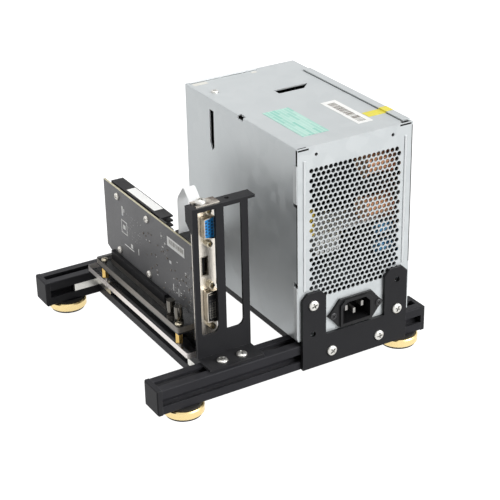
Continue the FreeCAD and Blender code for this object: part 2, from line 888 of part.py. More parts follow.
# Graphics card board, standing on edge in the slot
finger_bottom = card_bottom - finger_depth
card_outline = [
    (card_front, card_top),
    (card_back, card_top),
    (card_back, card_bottom),
    (slot_back + hook_gap + hook_foot, card_bottom - hook_depth),
    (slot_back + hook_gap, card_bottom - hook_depth),
    (slot_back + hook_gap, card_bottom),
    (finger_back, card_bottom),
    (finger_back, finger_bottom),
    (notch_back, finger_bottom),
    (notch_back, card_bottom),
    (notch_front, card_bottom),
    (notch_front, finger_bottom),
    (finger_front, finger_bottom),
    (finger_front, card_bottom),
    (card_front, card_bottom),
]
card = prism([Vector(card_left, y, z) for y, z in card_outline], X_AXIS * board_thickness)

# Heatsink with level fins along the card, a chip under it and memory beside the chip
sink_left = card_right + chip_height
sink_front = front_face + heatsink_front
sink_top = card_top
sink_bottom = sink_top - heatsink_height
fin_pitch = (heatsink_height - heatsink_fin) / (heatsink_fin_count - 1)
base_right = sink_left + heatsink_base
sink_right = sink_left + heatsink_depth
sink_pieces = [box(sink_left, base_right, sink_front, sink_front + heatsink_length, sink_bottom, sink_top)]
for fin in range(heatsink_fin_count):
    fin_low = sink_bottom + fin * fin_pitch
    sink_pieces.append(
        box(base_right, sink_right, sink_front, sink_front + heatsink_length, fin_low, fin_low + heatsink_fin)
    )
sink = fuse(sink_pieces)
sink_mid_y = sink_front + heatsink_length / 2
sink_mid_z = (sink_top + sink_bottom) / 2
heatsink_screws = []
high_screw_z = sink_top - heatsink_screw_drop
for side_y in (-0.5, 0.5):
    for z in (high_screw_z, high_screw_z - heatsink_screw_spacing_z):
        y = sink_mid_y + side_y * heatsink_screw_spacing_y
        seat = Vector(card_left, y, z)
        card = card.cut(rod(heatsink_screw_radius + screw_hole_gap, board_thickness, seat, X_AXIS))
        bite_start = Vector(sink_left, y, z)
        sink = sink.cut(rod(heatsink_screw_radius + thread_gap, heatsink_base, bite_start, X_AXIS))
        length = board_thickness + chip_height + heatsink_screw_bite
        heatsink_screws.append(
            screw(seat, X_AXIS * -1, heatsink_screw_radius, length, heatsink_screw_head, small_head_height)
        )
parts["card_board"] = card
parts["heatsink"] = sink
parts["heatsink_screws"] = Part.makeCompound(heatsink_screws)
chip_half = chip_size / 2
parts["graphics_chip"] = box(
    card_right, sink_left, sink_mid_y - chip_half, sink_mid_y + chip_half, sink_mid_z - chip_half, sink_mid_z + chip_half
)
memory_chips = []
memory_y = sink_front - memory_width
for step in range(3):
    low = sink_bottom + memory_width + step * (memory_length + memory_height)
    memory_chips.append(box(card_right, card_right + memory_height, memory_y, sink_front, low, low + memory_length))
parts["memory_chips"] = Part.makeCompound(memory_chips)


# Card bracket with its tab on the stand's ledge
def slanted_outline(center_x, center_z, length, width, slant, y):
    """A D-shaped outline: the long side faces right, the ends lean in."""
    half_l = length / 2
    half_w = width / 2
    points = ((half_w, half_l), (half_w, -half_l), (-half_w, -half_l + slant), (-half_w, half_l - slant))
    return [Vector(center_x + u, y, center_z + v) for u, v in points]


def slanted_block(center_x, center_z, length, width, slant, y0, y1):
    return prism(slanted_outline(center_x, center_z, length, width, slant, y0), Y_AXIS * (y1 - y0))


compact_x = window_x + compact_offset_x
wide_x = window_x + wide_offset_x
analog_x = window_x + analog_offset_x

bracket_left = bracket_x - bracket_width / 2
bracket_right = bracket_x + bracket_width / 2
bracket_bottom = lower_top + screw_head_height + bracket_floor_gap
tongue_top = bracket_bottom + bracket_tongue_height
sheet = box(bracket_left, bracket_right, bracket_front, bracket_back, tongue_top, stand_top + bracket_thickness)
tongue = box(
    bracket_x - bracket_tongue_width / 2, bracket_x + bracket_tongue_width / 2,
    bracket_front, bracket_back, bracket_bottom, tongue_top,
)
tab_front = bracket_back - bracket_tab_depth
tab = box(bracket_left, bracket_right, tab_front, bracket_back, stand_top, stand_top + bracket_thickness)
bracket = fuse([sheet, tongue, tab])
clamp_seat = Vector(clamp_x, clamp_y, stand_top)
bracket = bracket.cut(rod(clamp_notch_radius, bracket_thickness, clamp_seat, Z_AXIS))
notch = box(
    bracket_left - cut_margin, clamp_x, clamp_y - clamp_notch_radius, clamp_y + clamp_notch_radius,
    stand_top, stand_top + bracket_thickness,
)
bracket = bracket.cut(notch)
gap = 2 * socket_hole_gap
bracket = cut(bracket, [
    slanted_block(analog_x, analog_z, analog_length + gap, analog_width + gap, analog_slant, bracket_front, bracket_back),
    slanted_block(wide_x, wide_z, wide_length + gap, wide_width + gap, wide_slant, bracket_front, bracket_back),
    slanted_block(compact_x, compact_z, compact_length + gap, compact_width + gap, 0, bracket_front, bracket_back),
])
jack_seats = [(analog_x, analog_z + side * analog_screw_spacing / 2) for side in (-1, 1)]
jack_seats += [(wide_x, wide_z + side * wide_screw_spacing / 2) for side in (-1, 1)]
for x, z in jack_seats:
    bracket = bracket.cut(rod(jack_stud_radius + thread_gap, bracket_thickness, Vector(x, bracket_front, z), Y_AXIS))
parts["card_bracket"] = bracket

clamp_shank = bracket_thickness + stand_thickness + clamp_screw_radius
clamp_top = Vector(clamp_x, clamp_y, stand_top + bracket_thickness)
parts["card_clamp_screw"] = screw(
    clamp_top, Z_AXIS, clamp_screw_radius, clamp_shank, screw_head_radius, screw_head_height
)


# Video sockets
def socket_shell(x, z, length, width, slant, flange_length, flange_width, screw_spacing):
    """A metal shell through the bracket with a flange against the bracket's back."""
    front = bracket_front - socket_reach
    flange_back = bracket_back + socket_flange_thickness
    outer = slanted_block(x, z, length, width, slant, front, flange_back)
    flange = slanted_block(x, z, flange_length, flange_width, 0, bracket_back, flange_back)
    skin = 2 * socket_skin
    hollow = slanted_block(x, z, length - skin, width - skin, slant, front - cut_margin, flange_back + cut_margin)
    shell = fuse([outer, flange]).cut(hollow)
    for side in (-1, 1):
        start = Vector(x, bracket_back, z + side * screw_spacing / 2)
        shell = shell.cut(rod(jack_stud_radius + thread_gap, socket_flange_thickness, start, Y_AXIS))
    return shell


parts["analog_socket_shell"] = socket_shell(
    analog_x, analog_z, analog_length, analog_width, analog_slant,
    analog_flange_length, analog_flange_width, analog_screw_spacing,
)
parts["wide_socket_shell"] = socket_shell(
    wide_x, wide_z, wide_length, wide_width, wide_slant,
    wide_flange_length, wide_flange_width, wide_screw_spacing,
)
insert_trim = 2 * (socket_skin + supply_fit)
insert_front = bracket_front - socket_reach + insert_recess
flange_back = bracket_back + socket_flange_thickness
analog_back = flange_back + analog_body_depth
analog_insert = slanted_block(
    analog_x, analog_z, analog_length - insert_trim, analog_width - insert_trim, analog_slant, insert_front, flange_back
)
analog_body = slanted_block(analog_x, analog_z, analog_length, analog_width, 0, flange_back, analog_back)
parts["analog_socket_insert"] = fuse([analog_insert, analog_body])
wide_insert = slanted_block(
    wide_x, wide_z, wide_length - insert_trim, wide_width - insert_trim, wide_slant, insert_front, flange_back
)
wide_body = box(
    card_right, wide_x + wide_width / 2, flange_back, flange_back + wide_body_depth,
    wide_z - wide_length / 2, wide_z + wide_length / 2,
)
parts["wide_socket_insert"] = fuse([wide_insert, wide_body])

compact_front = bracket_front
compact_back = bracket_back + compact_depth
compact_outer = slanted_block(compact_x, compact_z, compact_length, compact_width, 0, compact_front, compact_back)
compact_side = box(
    card_right, compact_x, card_front, compact_back,
    compact_z - compact_length / 2, compact_z + compact_length / 2,
)
wall = 2 * compact_wall
compact_hollow = slanted_block(
    compact_x, compact_z, compact_length - wall, compact_width - wall, 0, compact_front - cut_margin, compact_back - wall
)
parts["compact_video_socket"] = fuse([compact_outer, compact_side]).cut(compact_hollow)

jack_screws = []
for x, z in jack_seats:
    seat = Vector(x, bracket_front, z)
    post = prism(hexagon(seat, jack_radius, X_AXIS, Z_AXIS), Y_AXIS * -jack_length)
    stud_length = bracket_thickness + socket_flange_thickness
    stud = rod(jack_stud_radius, stud_length, seat, Y_AXIS)
    bore_start = seat - Y_AXIS * jack_length
    jack_screws.append(fuse([post, stud]).cut(rod(jack_bore_radius, jack_bore_depth, bore_start, Y_AXIS)))
parts["jack_screws"] = Part.makeCompound(jack_screws)

# Flat cable: up from the back of the upper socket, over and down into the header on the card
ribbon_left = card_right - ribbon_side_shift
half_ribbon = ribbon_thickness / 2
ribbon_front_y = analog_back + half_ribbon
ribbon_back_y = ribbon_front_y + 2 * ribbon_radius
ribbon_low_z = analog_z - ribbon_front_drop
ribbon_high_z = analog_z + ribbon_rise
header_top = card_top + header_rise


def ribbon_edge(offset):
    """One long edge of the cable, at offset from its middle: up, half round, down."""
    radius = ribbon_radius + offset
    y0 = ribbon_front_y - offset
    y1 = ribbon_back_y + offset
    crown = Vector(ribbon_left, (y0 + y1) / 2, ribbon_high_z + radius)
    low_front = Vector(ribbon_left, y0, ribbon_low_z)
    high_front = Vector(ribbon_left, y0, ribbon_high_z)
    high_back = Vector(ribbon_left, y1, ribbon_high_z)
    low_back = Vector(ribbon_left, y1, header_top)
    pieces = [
        Part.makeLine(low_front, high_front),
        Part.Arc(high_front, crown, high_back).toShape(),
        Part.makeLine(high_back, low_back),
    ]
    return pieces, low_front, low_back


outer_edge, outer_start, outer_end = ribbon_edge(half_ribbon)
inner_edge, inner_start, inner_end = ribbon_edge(-half_ribbon)
ends = [Part.makeLine(outer_end, inner_end), Part.makeLine(inner_start, outer_start)]
ribbon_wire = Part.Wire(Part.__sortEdges__(outer_edge + inner_edge + ends))
parts["ribbon_cable"] = Part.Face(ribbon_wire).extrude(X_AXIS * ribbon_width)
header_back = ribbon_back_y + header_end_margin
header_front = compact_back + header_front_gap
parts["ribbon_header"] = box(
    card_right, card_right + header_width, header_front, header_back, header_top - header_height, header_top
)

# Power supply case: floor, right wall with its lip over the cover, and back wall
sheet = supply_sheet
inner_left = supply_left + sheet + supply_fit
wall_front = front_face + sheet
floor_sheet = box(inner_left, supply_right, wall_front, supply_back, supply_floor, supply_floor + sheet)
floor_return = box(
    inner_left, inner_left + sheet, wall_front + supply_return_depth + sheet, supply_back,
    supply_floor, supply_floor + supply_return_depth,
)
right_wall = box(supply_right - sheet, supply_right, wall_front, supply_back, supply_floor, supply_top)
back_wall = box(supply_left, supply_right, supply_back - sheet, supply_back, supply_floor, supply_top)
lip_start = front_face + supply_lip_front
lip = box(
    supply_right - supply_lip_width, supply_right, lip_start, lip_start + supply_lip_length, supply_top, supply_top + sheet
)
board_right = supply_right - sheet - supply_board_gap
board_left = board_right - board_thickness
board_low = supply_floor + supply_board_inset
board_high = supply_top - supply_board_inset
board_front = front_face + supply_board_front
board_back = board_front + supply_board_length
stud_inset = supply_board_inset
studs = []
for y in (board_front + stud_inset, board_back - stud_inset):
    for z in (board_low + stud_inset, board_high - stud_inset):
        studs.append(rod(supply_stud_radius, supply_board_gap, Vector(board_right, y, z), X_AXIS))
case = fuse([floor_sheet, floor_return, right_wall, back_wall, lip] + studs)

fan_center = Vector(supply_center_x, supply_back - sheet, supply_top - fan_top_drop)
fan_bore_radius = fan_size / 2 - fan_wall
fan_y0 = fan_center.y - fan_depth
hole_half = fan_size / 2 - fan_hole_inset
fan_holes = [(fan_center.x + u, fan_center.z + v) for u in (-hole_half, hole_half) for v in (-hole_half, hole_half)]
guard_rings = None
for ring in range(guard_ring_count):
    inner = guard_hub_radius + ring * (guard_slot_width + guard_ring_width)
    outer = rod(inner + guard_slot_width, sheet, fan_center, Y_AXIS)
    annulus = outer.cut(rod(inner, sheet, fan_center, Y_AXIS))
    guard_rings = annulus if guard_rings is None else guard_rings.fuse(annulus)
spoke_half = guard_spoke_width / 2
spoke_reach = fan_size / 2
for turn in (45.0, 135.0):
    spoke = box(-spoke_reach, spoke_reach, 0, sheet, -spoke_half, spoke_half)
    spoke.rotate(Vector(0, 0, 0), Y_AXIS, turn)
    spoke.translate(fan_center)
    guard_rings = guard_rings.cut(spoke)
case = case.cut(guard_rings)
for x, z in fan_holes:
    case = case.cut(rod(small_hole, sheet, Vector(x, fan_center.y, z), Y_AXIS))
grommet_center = Vector(supply_center_x + grommet_offset_x, fan_center.y, supply_floor + grommet_height)
case = case.cut(rod(grommet_radius + supply_fit, sheet, grommet_center, Y_AXIS))
parts["supply_case"] = case

# Cover: top and left side in one folded sheet, with its slots and notches
cover_right = supply_right - sheet - supply_fit
cover_back = supply_back - sheet - supply_fit
top_sheet = box(supply_left, cover_right, wall_front, cover_back, supply_top - sheet, supply_top)
left_sheet = box(supply_left, supply_left + sheet, wall_front, cover_back, supply_floor, supply_top)
cover = fuse([top_sheet, left_sheet])
bend = [
    edge for edge in cover.Edges
    if abs(edge.CenterOfMass.x - supply_left) < supply_fit and abs(edge.CenterOfMass.z - supply_top) < supply_fit
    and edge.BoundBox.YLength > supply_depth / 2
]
cover = cover.makeFillet(supply_bend_radius, bend)
slot_x = supply_center_x + top_slot_x
slot_y = front_face + top_slot_y
top_slot = [
    Vector(slot_x - top_slot_length / 2, slot_y + top_slot_width / 2, supply_top - sheet),
    Vector(slot_x + top_slot_length / 2, slot_y + top_slot_width / 2, supply_top - sheet),
    Vector(slot_x + top_slot_length / 2 - top_slot_width, slot_y - top_slot_width / 2, supply_top - sheet),
    Vector(slot_x - top_slot_length / 2, slot_y - top_slot_width / 2, supply_top - sheet),
]
side_y = front_face + side_slot_y
side_top = supply_top - side_slot_drop
side_low = side_top - side_slot_height
side_half = side_slot_width / 2
side_slot = [
    Vector(supply_left, side_y - side_half, side_top),
    Vector(supply_left, side_y + side_half, side_top),
    Vector(supply_left, side_y + side_half, side_low + side_slot_width),
    Vector(supply_left, side_y, side_low),
    Vector(supply_left, side_y - side_half, side_low + side_half),
]
notch_y = front_face + edge_notch_y
edge_notch = box(
    supply_left, supply_left + edge_notch_depth, notch_y - edge_notch_length / 2, notch_y + edge_notch_length / 2,
    supply_top - edge_notch_depth, supply_top,
)
cover = cut(cover, [prism(top_slot, Z_AXIS * sheet), prism(side_slot, X_AXIS * sheet), edge_notch])
for height in (flange_notch_low, flange_notch_high):
    z = supply_floor + height
    cover = cover.cut(
        box(supply_left, supply_left + sheet, wall_front, wall_front + flange_notch_depth, z, z + flange_notch_height)
    )
cover_seat = Vector(supply_left + cover_screw_x, front_face + cover_screw_y, supply_top)
cover = cover.cut(rod(small_thread_hole, sheet, cover_seat, Z_AXIS * -1))
parts["supply_cover"] = cover

case_screws = [screw(cover_seat, Z_AXIS, small_screw_radius, supply_screw_tail, small_head_radius, small_head_height)]
for x, z in fan_holes:
    seat = Vector(x, supply_back, z)
    length = sheet + supply_screw_tail
    case_screws.append(screw(seat, Y_AXIS, small_screw_radius, length, small_head_radius, small_head_height))
parts["supply_case_screws"] = Part.makeCompound(case_screws)

# Perforated front panel over the front edges of the case and cover


def inlet_outline(width, height, corner, y):
    """A rectangle with two cut corners at the top."""
    half_w = width / 2
    half_h = height / 2
    points = (
        (-half_w, -half_h), (half_w, -half_h), (half_w, half_h - corner),
        (half_w - corner, half_h), (corner - half_w, half_h), (-half_w, half_h - corner),
    )
    return [Vector(inlet_x + u, y, inlet_z + v) for u, v in points]


def ring_wire(radius, x, z):
    circle = Part.makeCircle(radius, Vector(x, front_face, z), Y_AXIS)
    return Part.Wire([circle])


def loop(points):
    return Part.makePolygon(points + [points[0]])


panel_corners = [
    Vector(supply_left, front_face, supply_floor), Vector(supply_right, front_face, supply_floor),
    Vector(supply_right, front_face, supply_top), Vector(supply_left, front_face, supply_top),
]
panel_wires = [loop(panel_corners)]
row_rise = grille_pitch * math.sqrt(3.0) / 2
grille_columns = int(grille_width / grille_pitch)
grille_rows = int((supply_height - grille_top_margin - grille_bottom) / row_rise)
for row in range(grille_rows + 1):
    shift = grille_pitch / 2 if row % 2 else 0.0
    z = supply_floor + grille_bottom + row * row_rise
    columns = grille_columns if row % 2 else grille_columns + 1
    for column in range(columns):
        x = supply_center_x + grille_offset_x + (column - grille_columns / 2) * grille_pitch + shift
        panel_wires.append(loop(hexagon(Vector(x, front_face, z), grille_hole_radius, X_AXIS, Z_AXIS, 30.0)))
for x, z in supply_holes:
    panel_wires.append(ring_wire(thread_hole, x, z))
for side in (-0.5, 0.5):
    panel_hole_x = supply_center_x + panel_hole_offset_x + side * panel_hole_spacing
    panel_wires.append(ring_wire(panel_hole_radius, panel_hole_x, supply_top - panel_hole_drop))
    panel_wires.append(ring_wire(small_thread_hole, inlet_x + side * inlet_screw_spacing, inlet_z))
cut_gap = 2 * inlet_cut_gap
panel_wires.append(
    loop(inlet_outline(inlet_body_width + cut_gap, inlet_body_height + cut_gap, inlet_body_corner, front_face))
)
panel_sheet = Part.Face(panel_wires, "Part::FaceMakerBullseye").extrude(Y_AXIS * sheet)
parts["supply_grille_panel"] = panel_sheet
return_back = wall_front + supply_return_depth

# Mains inlet, its three pins and its two screws
inlet_screws = [(inlet_x + side * inlet_screw_spacing / 2, inlet_z) for side in (-1, 1)]
flange_y = front_face - inlet_flange_thickness
end_half = inlet_flange_half_length - inlet_flange_end_radius
middle_half = inlet_body_width / 2
flange_outline = [
    (-middle_half, -inlet_flange_half_height), (middle_half, -inlet_flange_half_height),
    (end_half, -inlet_flange_end_radius), (inlet_flange_half_length, 0), (end_half, inlet_flange_end_radius),
    (middle_half, inlet_flange_half_height), (-middle_half, inlet_flange_half_height),
    (-end_half, inlet_flange_end_radius), (-inlet_flange_half_length, 0), (-end_half, -inlet_flange_end_radius),
]
flange = prism(
    [Vector(inlet_x + u, flange_y, inlet_z + v) for u, v in flange_outline], Y_AXIS * inlet_flange_thickness
)
rim_y = flange_y - inlet_rim
body_back = front_face + inlet_body_depth
body = prism(
    inlet_outline(inlet_body_width, inlet_body_height, inlet_body_corner, rim_y), Y_AXIS * (body_back - rim_y)
)
recess_width = inlet_body_width - 2 * inlet_wall
recess_height = inlet_body_height - 2 * inlet_wall
recess = prism(
    inlet_outline(recess_width, recess_height, inlet_body_corner, rim_y), Y_AXIS * inlet_recess_depth
)
inlet = fuse([flange, body]).cut(recess)
for x, z in inlet_screws:
    inlet = inlet.cut(rod(small_hole, inlet_flange_thickness, Vector(x, flange_y, z), Y_AXIS))
parts["mains_inlet"] = inlet
pin_floor = rim_y + inlet_recess_depth
pins = []
pin_places = ((-pin_spacing / 2, pin_offset), (pin_spacing / 2, pin_offset), (0.0, -pin_offset))
for u, v in pin_places:
    pins.append(box(
        inlet_x + u - pin_width / 2, inlet_x + u + pin_width / 2, pin_floor - pin_length, pin_floor,
        inlet_z + v - pin_height / 2, inlet_z + v + pin_height / 2,
    ))
parts["mains_inlet_pins"] = Part.makeCompound(pins)
inlet_screw_length = inlet_flange_thickness + sheet + supply_screw_tail
parts["mains_inlet_screws"] = Part.makeCompound([
    screw(Vector(x, flange_y, z), Y_AXIS * -1, small_screw_radius, inlet_screw_length, small_head_radius, inlet_rim)
    for x, z in inlet_screws
])

# Inside the supply: board, coils, capacitors and a cooling shelf
supply_board = box(board_left, board_right, board_front, board_back, board_low, board_high)
parts["supply_board"] = supply_board
shelf_z = supply_floor + shelf_height
shelf_top = shelf_z + shelf_thickness
coil_y = front_face + coil_front + coil_radius
coil_low = shelf_top + coil_shelf_gap + coil_radius
coils = []
for coil_z in (coil_low, coil_low + coil_pitch):
    start = Vector(board_left, coil_y, coil_z)
    winding = rod(coil_radius - coil_flange, coil_length, start, X_AXIS * -1)
    inner_flange = rod(coil_radius, coil_flange, start, X_AXIS * -1)
    outer_start = start - X_AXIS * (coil_length - coil_flange)
    outer_flange = rod(coil_radius, coil_flange, outer_start, X_AXIS * -1)
    coils.append(fuse([winding, inner_flange, outer_flange]))
parts["supply_coils"] = Part.makeCompound(coils)
bulk_capacitors = []
for height in bulk_capacitor_heights:
    start = Vector(board_left, front_face + bulk_capacitor_y, supply_floor + height)
    bulk_capacitors.append(rod(bulk_capacitor_radius, bulk_capacitor_length, start, X_AXIS * -1))
parts["bulk_capacitors"] = Part.makeCompound(bulk_capacitors)
blue_capacitors = []
blue_y = front_face + coil_front + blue_capacitor_radius + coil_flange
blue_high = shelf_z - blue_capacitor_drop
for blue_z in (blue_high, blue_high - blue_capacitor_pitch):
    start = Vector(board_left, blue_y, blue_z)
    blue_capacitors.append(rod(blue_capacitor_radius, blue_capacitor_length, start, X_AXIS * -1))
parts["blue_capacitors"] = Part.makeCompound(blue_capacitors)
shelf_left = inner_left + shelf_left_gap
shelf_y = return_back + shelf_front
shelf_pieces = [box(shelf_left, board_left, shelf_y, shelf_y + shelf_depth, shelf_z, shelf_top)]
fin_room = supply_center_x - shelf_left - film_capacitor_width - 2 * shelf_thickness
for fin in range(shelf_fin_count):
    x = shelf_left + film_capacitor_width + shelf_thickness + fin * fin_room / shelf_fin_count
    shelf_pieces.append(
        box(x, x + shelf_thickness, shelf_y, shelf_y + shelf_depth, shelf_z - shelf_fin_height, shelf_z)
    )
parts["cooling_shelf"] = fuse(shelf_pieces)
parts["film_capacitor"] = box(
    shelf_left, shelf_left + film_capacitor_width, shelf_y, shelf_y + film_capacitor_depth,
    shelf_top, shelf_top + film_capacitor_height,
)

# Fan housing with a motor mount on struts, and the rotor that turns in it
half_fan = fan_size / 2
housing = box(
    fan_center.x - half_fan, fan_center.x + half_fan, fan_y0, fan_center.y,
    fan_center.z - half_fan, fan_center.z + half_fan,
)
corner_edges = [edge for edge in housing.Edges if edge.BoundBox.YLength > fan_depth / 2]
housing = housing.makeFillet(fan_corner_radius, corner_edges)
fan_start = Vector(fan_center.x, fan_y0, fan_center.z)
housing = housing.cut(rod(fan_bore_radius, fan_depth, fan_start, Y_AXIS))
mount = rod(fan_mount_radius, fan_mount_thickness, fan_start, Y_AXIS)
strut_half = fan_strut_width / 2
for strut_index in range(fan_strut_count):
    strut = box(0, (fan_bore_radius + half_fan) / 2, 0, fan_mount_thickness, -strut_half, strut_half)
    strut.rotate(Vector(0, 0, 0), Y_AXIS, strut_index * 360.0 / fan_strut_count)
    strut.translate(fan_start)
    mount = mount.fuse(strut)
bearing = rod(fan_shaft_radius + fan_shaft_gap, fan_mount_thickness, fan_start, Y_AXIS)
housing = fuse([housing, mount]).cut(bearing)
for x, z in fan_holes:
    housing = housing.cut(rod(small_thread_hole, fan_depth, Vector(x, fan_y0, z), Y_AXIS))
parts["fan_housing"] = housing

hub_start = fan_start + Y_AXIS * (fan_mount_thickness + fan_end_gap)
hub = rod(fan_hub_radius, fan_hub_length, hub_start, Y_AXIS)
shaft = rod(fan_shaft_radius, fan_mount_thickness + fan_end_gap, fan_start, Y_AXIS)
blade_mid_y = hub_start.y + fan_hub_length / 2


def camber_line(offset):
    """The arc of a blade's section, at offset across the blade, leaning by its pitch."""
    half = fan_blade_chord / 2
    points = []
    for along, rise in ((-half, 0.0), (0.0, fan_blade_camber), (half, 0.0)):
        angle = math.radians(fan_blade_pitch)
        across = rise + offset
        x = along * math.cos(angle) - across * math.sin(angle)
        y = along * math.sin(angle) + across * math.cos(angle)
        points.append(Vector(x, y, blade_root))
    return points


blade_root = fan_hub_radius - fan_blade_overlap
front_line = camber_line(fan_blade_thickness / 2)
back_line = camber_line(-fan_blade_thickness / 2)
blade_edges = [
    Part.Arc(*front_line).toShape(),
    Part.makeLine(front_line[2], back_line[2]),
    Part.Arc(*back_line).toShape(),
    Part.makeLine(back_line[0], front_line[0]),
]
blade_face = Part.Face(Part.Wire(Part.__sortEdges__(blade_edges)))
blade = blade_face.extrude(Z_AXIS * (fan_bore_radius - fan_tip_gap - blade_root))
rotor_pieces = [hub, shaft]
for index in range(fan_blade_count):
    turned = blade.copy()
    turned.rotate(Vector(0, 0, 0), Y_AXIS, index * 360.0 / fan_blade_count)
    turned.translate(Vector(fan_center.x, blade_mid_y, fan_center.z))
    rotor_pieces.append(turned)
parts["fan_rotor"] = fuse(rotor_pieces)

# Grommet in the back wall for the output leads
grommet = rod(grommet_radius, sheet, grommet_center, Y_AXIS)
for start in (grommet_center - Y_AXIS * grommet_flange, grommet_center + Y_AXIS * sheet):
    grommet = grommet.fuse(rod(grommet_radius + grommet_flange, grommet_flange, start, Y_AXIS))
tunnel_start = grommet_center - Y_AXIS * grommet_flange
tunnel = rod(grommet_hole_radius, sheet + 2 * grommet_flange, tunnel_start, Y_AXIS)
parts["cable_grommet"] = grommet.removeSplitter().cut(tunnel)

os.makedirs("parts", exist_ok=True)
for name, shape in parts.items():
    shape.exportStep(os.path.join("parts", name + ".step"))
print(len(parts), "nodes written")
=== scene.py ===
# %% [markdown]
# # An open rig for one graphics card and its supply
# Four slotted black bars stand on gold feet. A folded stand holds a card upright on a clear dock, and a grey
# supply box sits beside it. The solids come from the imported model, so this lesson only adds finishes and the
# small pieces that repeat: screws, perforations, pins, wires and solder points.

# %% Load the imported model
import bmesh
import bpy
import math
import random
from mathutils import Euler, Matrix, Vector
from mathutils.geometry import delaunay_2d_cdt


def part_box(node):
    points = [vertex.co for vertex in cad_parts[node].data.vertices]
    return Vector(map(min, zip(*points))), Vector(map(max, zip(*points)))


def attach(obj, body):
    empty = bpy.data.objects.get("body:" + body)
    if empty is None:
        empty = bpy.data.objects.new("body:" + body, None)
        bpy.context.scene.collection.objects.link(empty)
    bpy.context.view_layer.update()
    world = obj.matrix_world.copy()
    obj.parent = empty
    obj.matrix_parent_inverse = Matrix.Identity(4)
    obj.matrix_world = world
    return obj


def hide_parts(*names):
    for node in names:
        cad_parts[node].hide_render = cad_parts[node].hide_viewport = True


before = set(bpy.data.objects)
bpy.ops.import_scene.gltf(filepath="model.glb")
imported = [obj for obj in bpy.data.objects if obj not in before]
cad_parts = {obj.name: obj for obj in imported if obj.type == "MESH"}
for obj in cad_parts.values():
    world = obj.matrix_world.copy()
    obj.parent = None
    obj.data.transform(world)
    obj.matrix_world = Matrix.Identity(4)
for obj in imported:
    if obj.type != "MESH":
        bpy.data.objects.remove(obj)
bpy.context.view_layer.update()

scene = bpy.context.scene
scene.view_settings.view_transform = "Standard"
MM = 0.001

# %% [markdown]
# ## Camera
# The view was fitted to the edges of the bars and of the supply box. A long lens far away keeps the upright edges
# nearly parallel. The camera's three axes are written out, so that its small roll is plain to see.

# %% Place the camera
view_azimuth = math.radians(-30.352)
view_elevation = math.radians(26.427)
view_roll = math.radians(-1.2098)
view_right = Vector((math.cos(view_azimuth), math.sin(view_azimuth), 0))
view_back = Vector((
    math.sin(view_azimuth) * math.cos(view_elevation),
    -math.cos(view_azimuth) * math.cos(view_elevation),
    math.sin(view_elevation),
))
view_up = view_back.cross(view_right)
rolled_right = math.cos(view_roll) * view_right + math.sin(view_roll) * view_up
rolled_up = math.cos(view_roll) * view_up - math.sin(view_roll) * view_right
camera_data = bpy.data.cameras.new("camera")
camera_data.lens = 104.38
camera_data.sensor_width = 36
camera = bpy.data.objects.new("camera", camera_data)
scene.collection.objects.link(camera)
axes = Matrix((rolled_right, rolled_up, view_back)).transposed().to_4x4()
camera.matrix_world = Matrix.Translation((-0.4877, -0.87235, 0.5604)) @ axes
scene.camera = camera
print("camera at", [round(v, 3) for v in camera.location])

# %% [markdown]
# ## Wiring nodes in few words
# A node is made, set and linked in one call: an input that is given a socket gets a link, and any other value is
# set on the input itself. Colours are mixed often, so that has a helper of its own.

# %% Node helpers
def add(tree, kind, inputs=None, **settings):
    """One node: its settings, then its inputs by name or index."""
    node = tree.nodes.new(kind)
    for key, value in settings.items():
        setattr(node, key, value)
    for key, value in (inputs or {}).items():
        if isinstance(value, bpy.types.NodeSocket):
            tree.links.new(value, node.inputs[key])
        else:
            node.inputs[key].default_value = value
    return node


def mix_colours(tree, factor, first, second, how="MIX"):
    return add(tree, "ShaderNodeMix", {0: factor, 6: first, 7: second}, data_type="RGBA", blend_type=how).outputs[2]


def math_node(tree, how, *values, clamp=False):
    return add(tree, "ShaderNodeMath", dict(enumerate(values)), operation=how, use_clamp=clamp).outputs[0]


def remap(tree, value, low, high, to_low=0.0, to_high=1.0):
    inputs = {"Value": value, "From Min": low, "From Max": high, "To Min": to_low, "To Max": to_high}
    return add(tree, "ShaderNodeMapRange", inputs).outputs[0]


def new_material(name):
    """A material with its node tree and its main shader."""
    material = bpy.data.materials.new(name)
    material.use_nodes = True
    return material, material.node_tree, material.node_tree.nodes["Principled BSDF"]


def add_relief(tree, shader, height, strength, distance):
    """Fine relief, as bump on the shader."""
    bump = add(tree, "ShaderNodeBump", {"Height": height, "Strength": strength, "Distance": distance})
    tree.links.new(bump.outputs[0], shader.inputs["Normal"])


def new_group(name, inputs, outputs):
    """A shader node group with named inputs and outputs."""
    tree = bpy.data.node_groups.new(name, "ShaderNodeTree")
    for label, kind, value in inputs:
        socket = tree.interface.new_socket(label, in_out="INPUT", socket_type="NodeSocket" + kind)
        socket.default_value = value
    for label, kind in outputs:
        tree.interface.new_socket(label, in_out="OUTPUT", socket_type="NodeSocket" + kind)
    return tree, tree.nodes.new("NodeGroupInput").outputs, tree.nodes.new("NodeGroupOutput").inputs
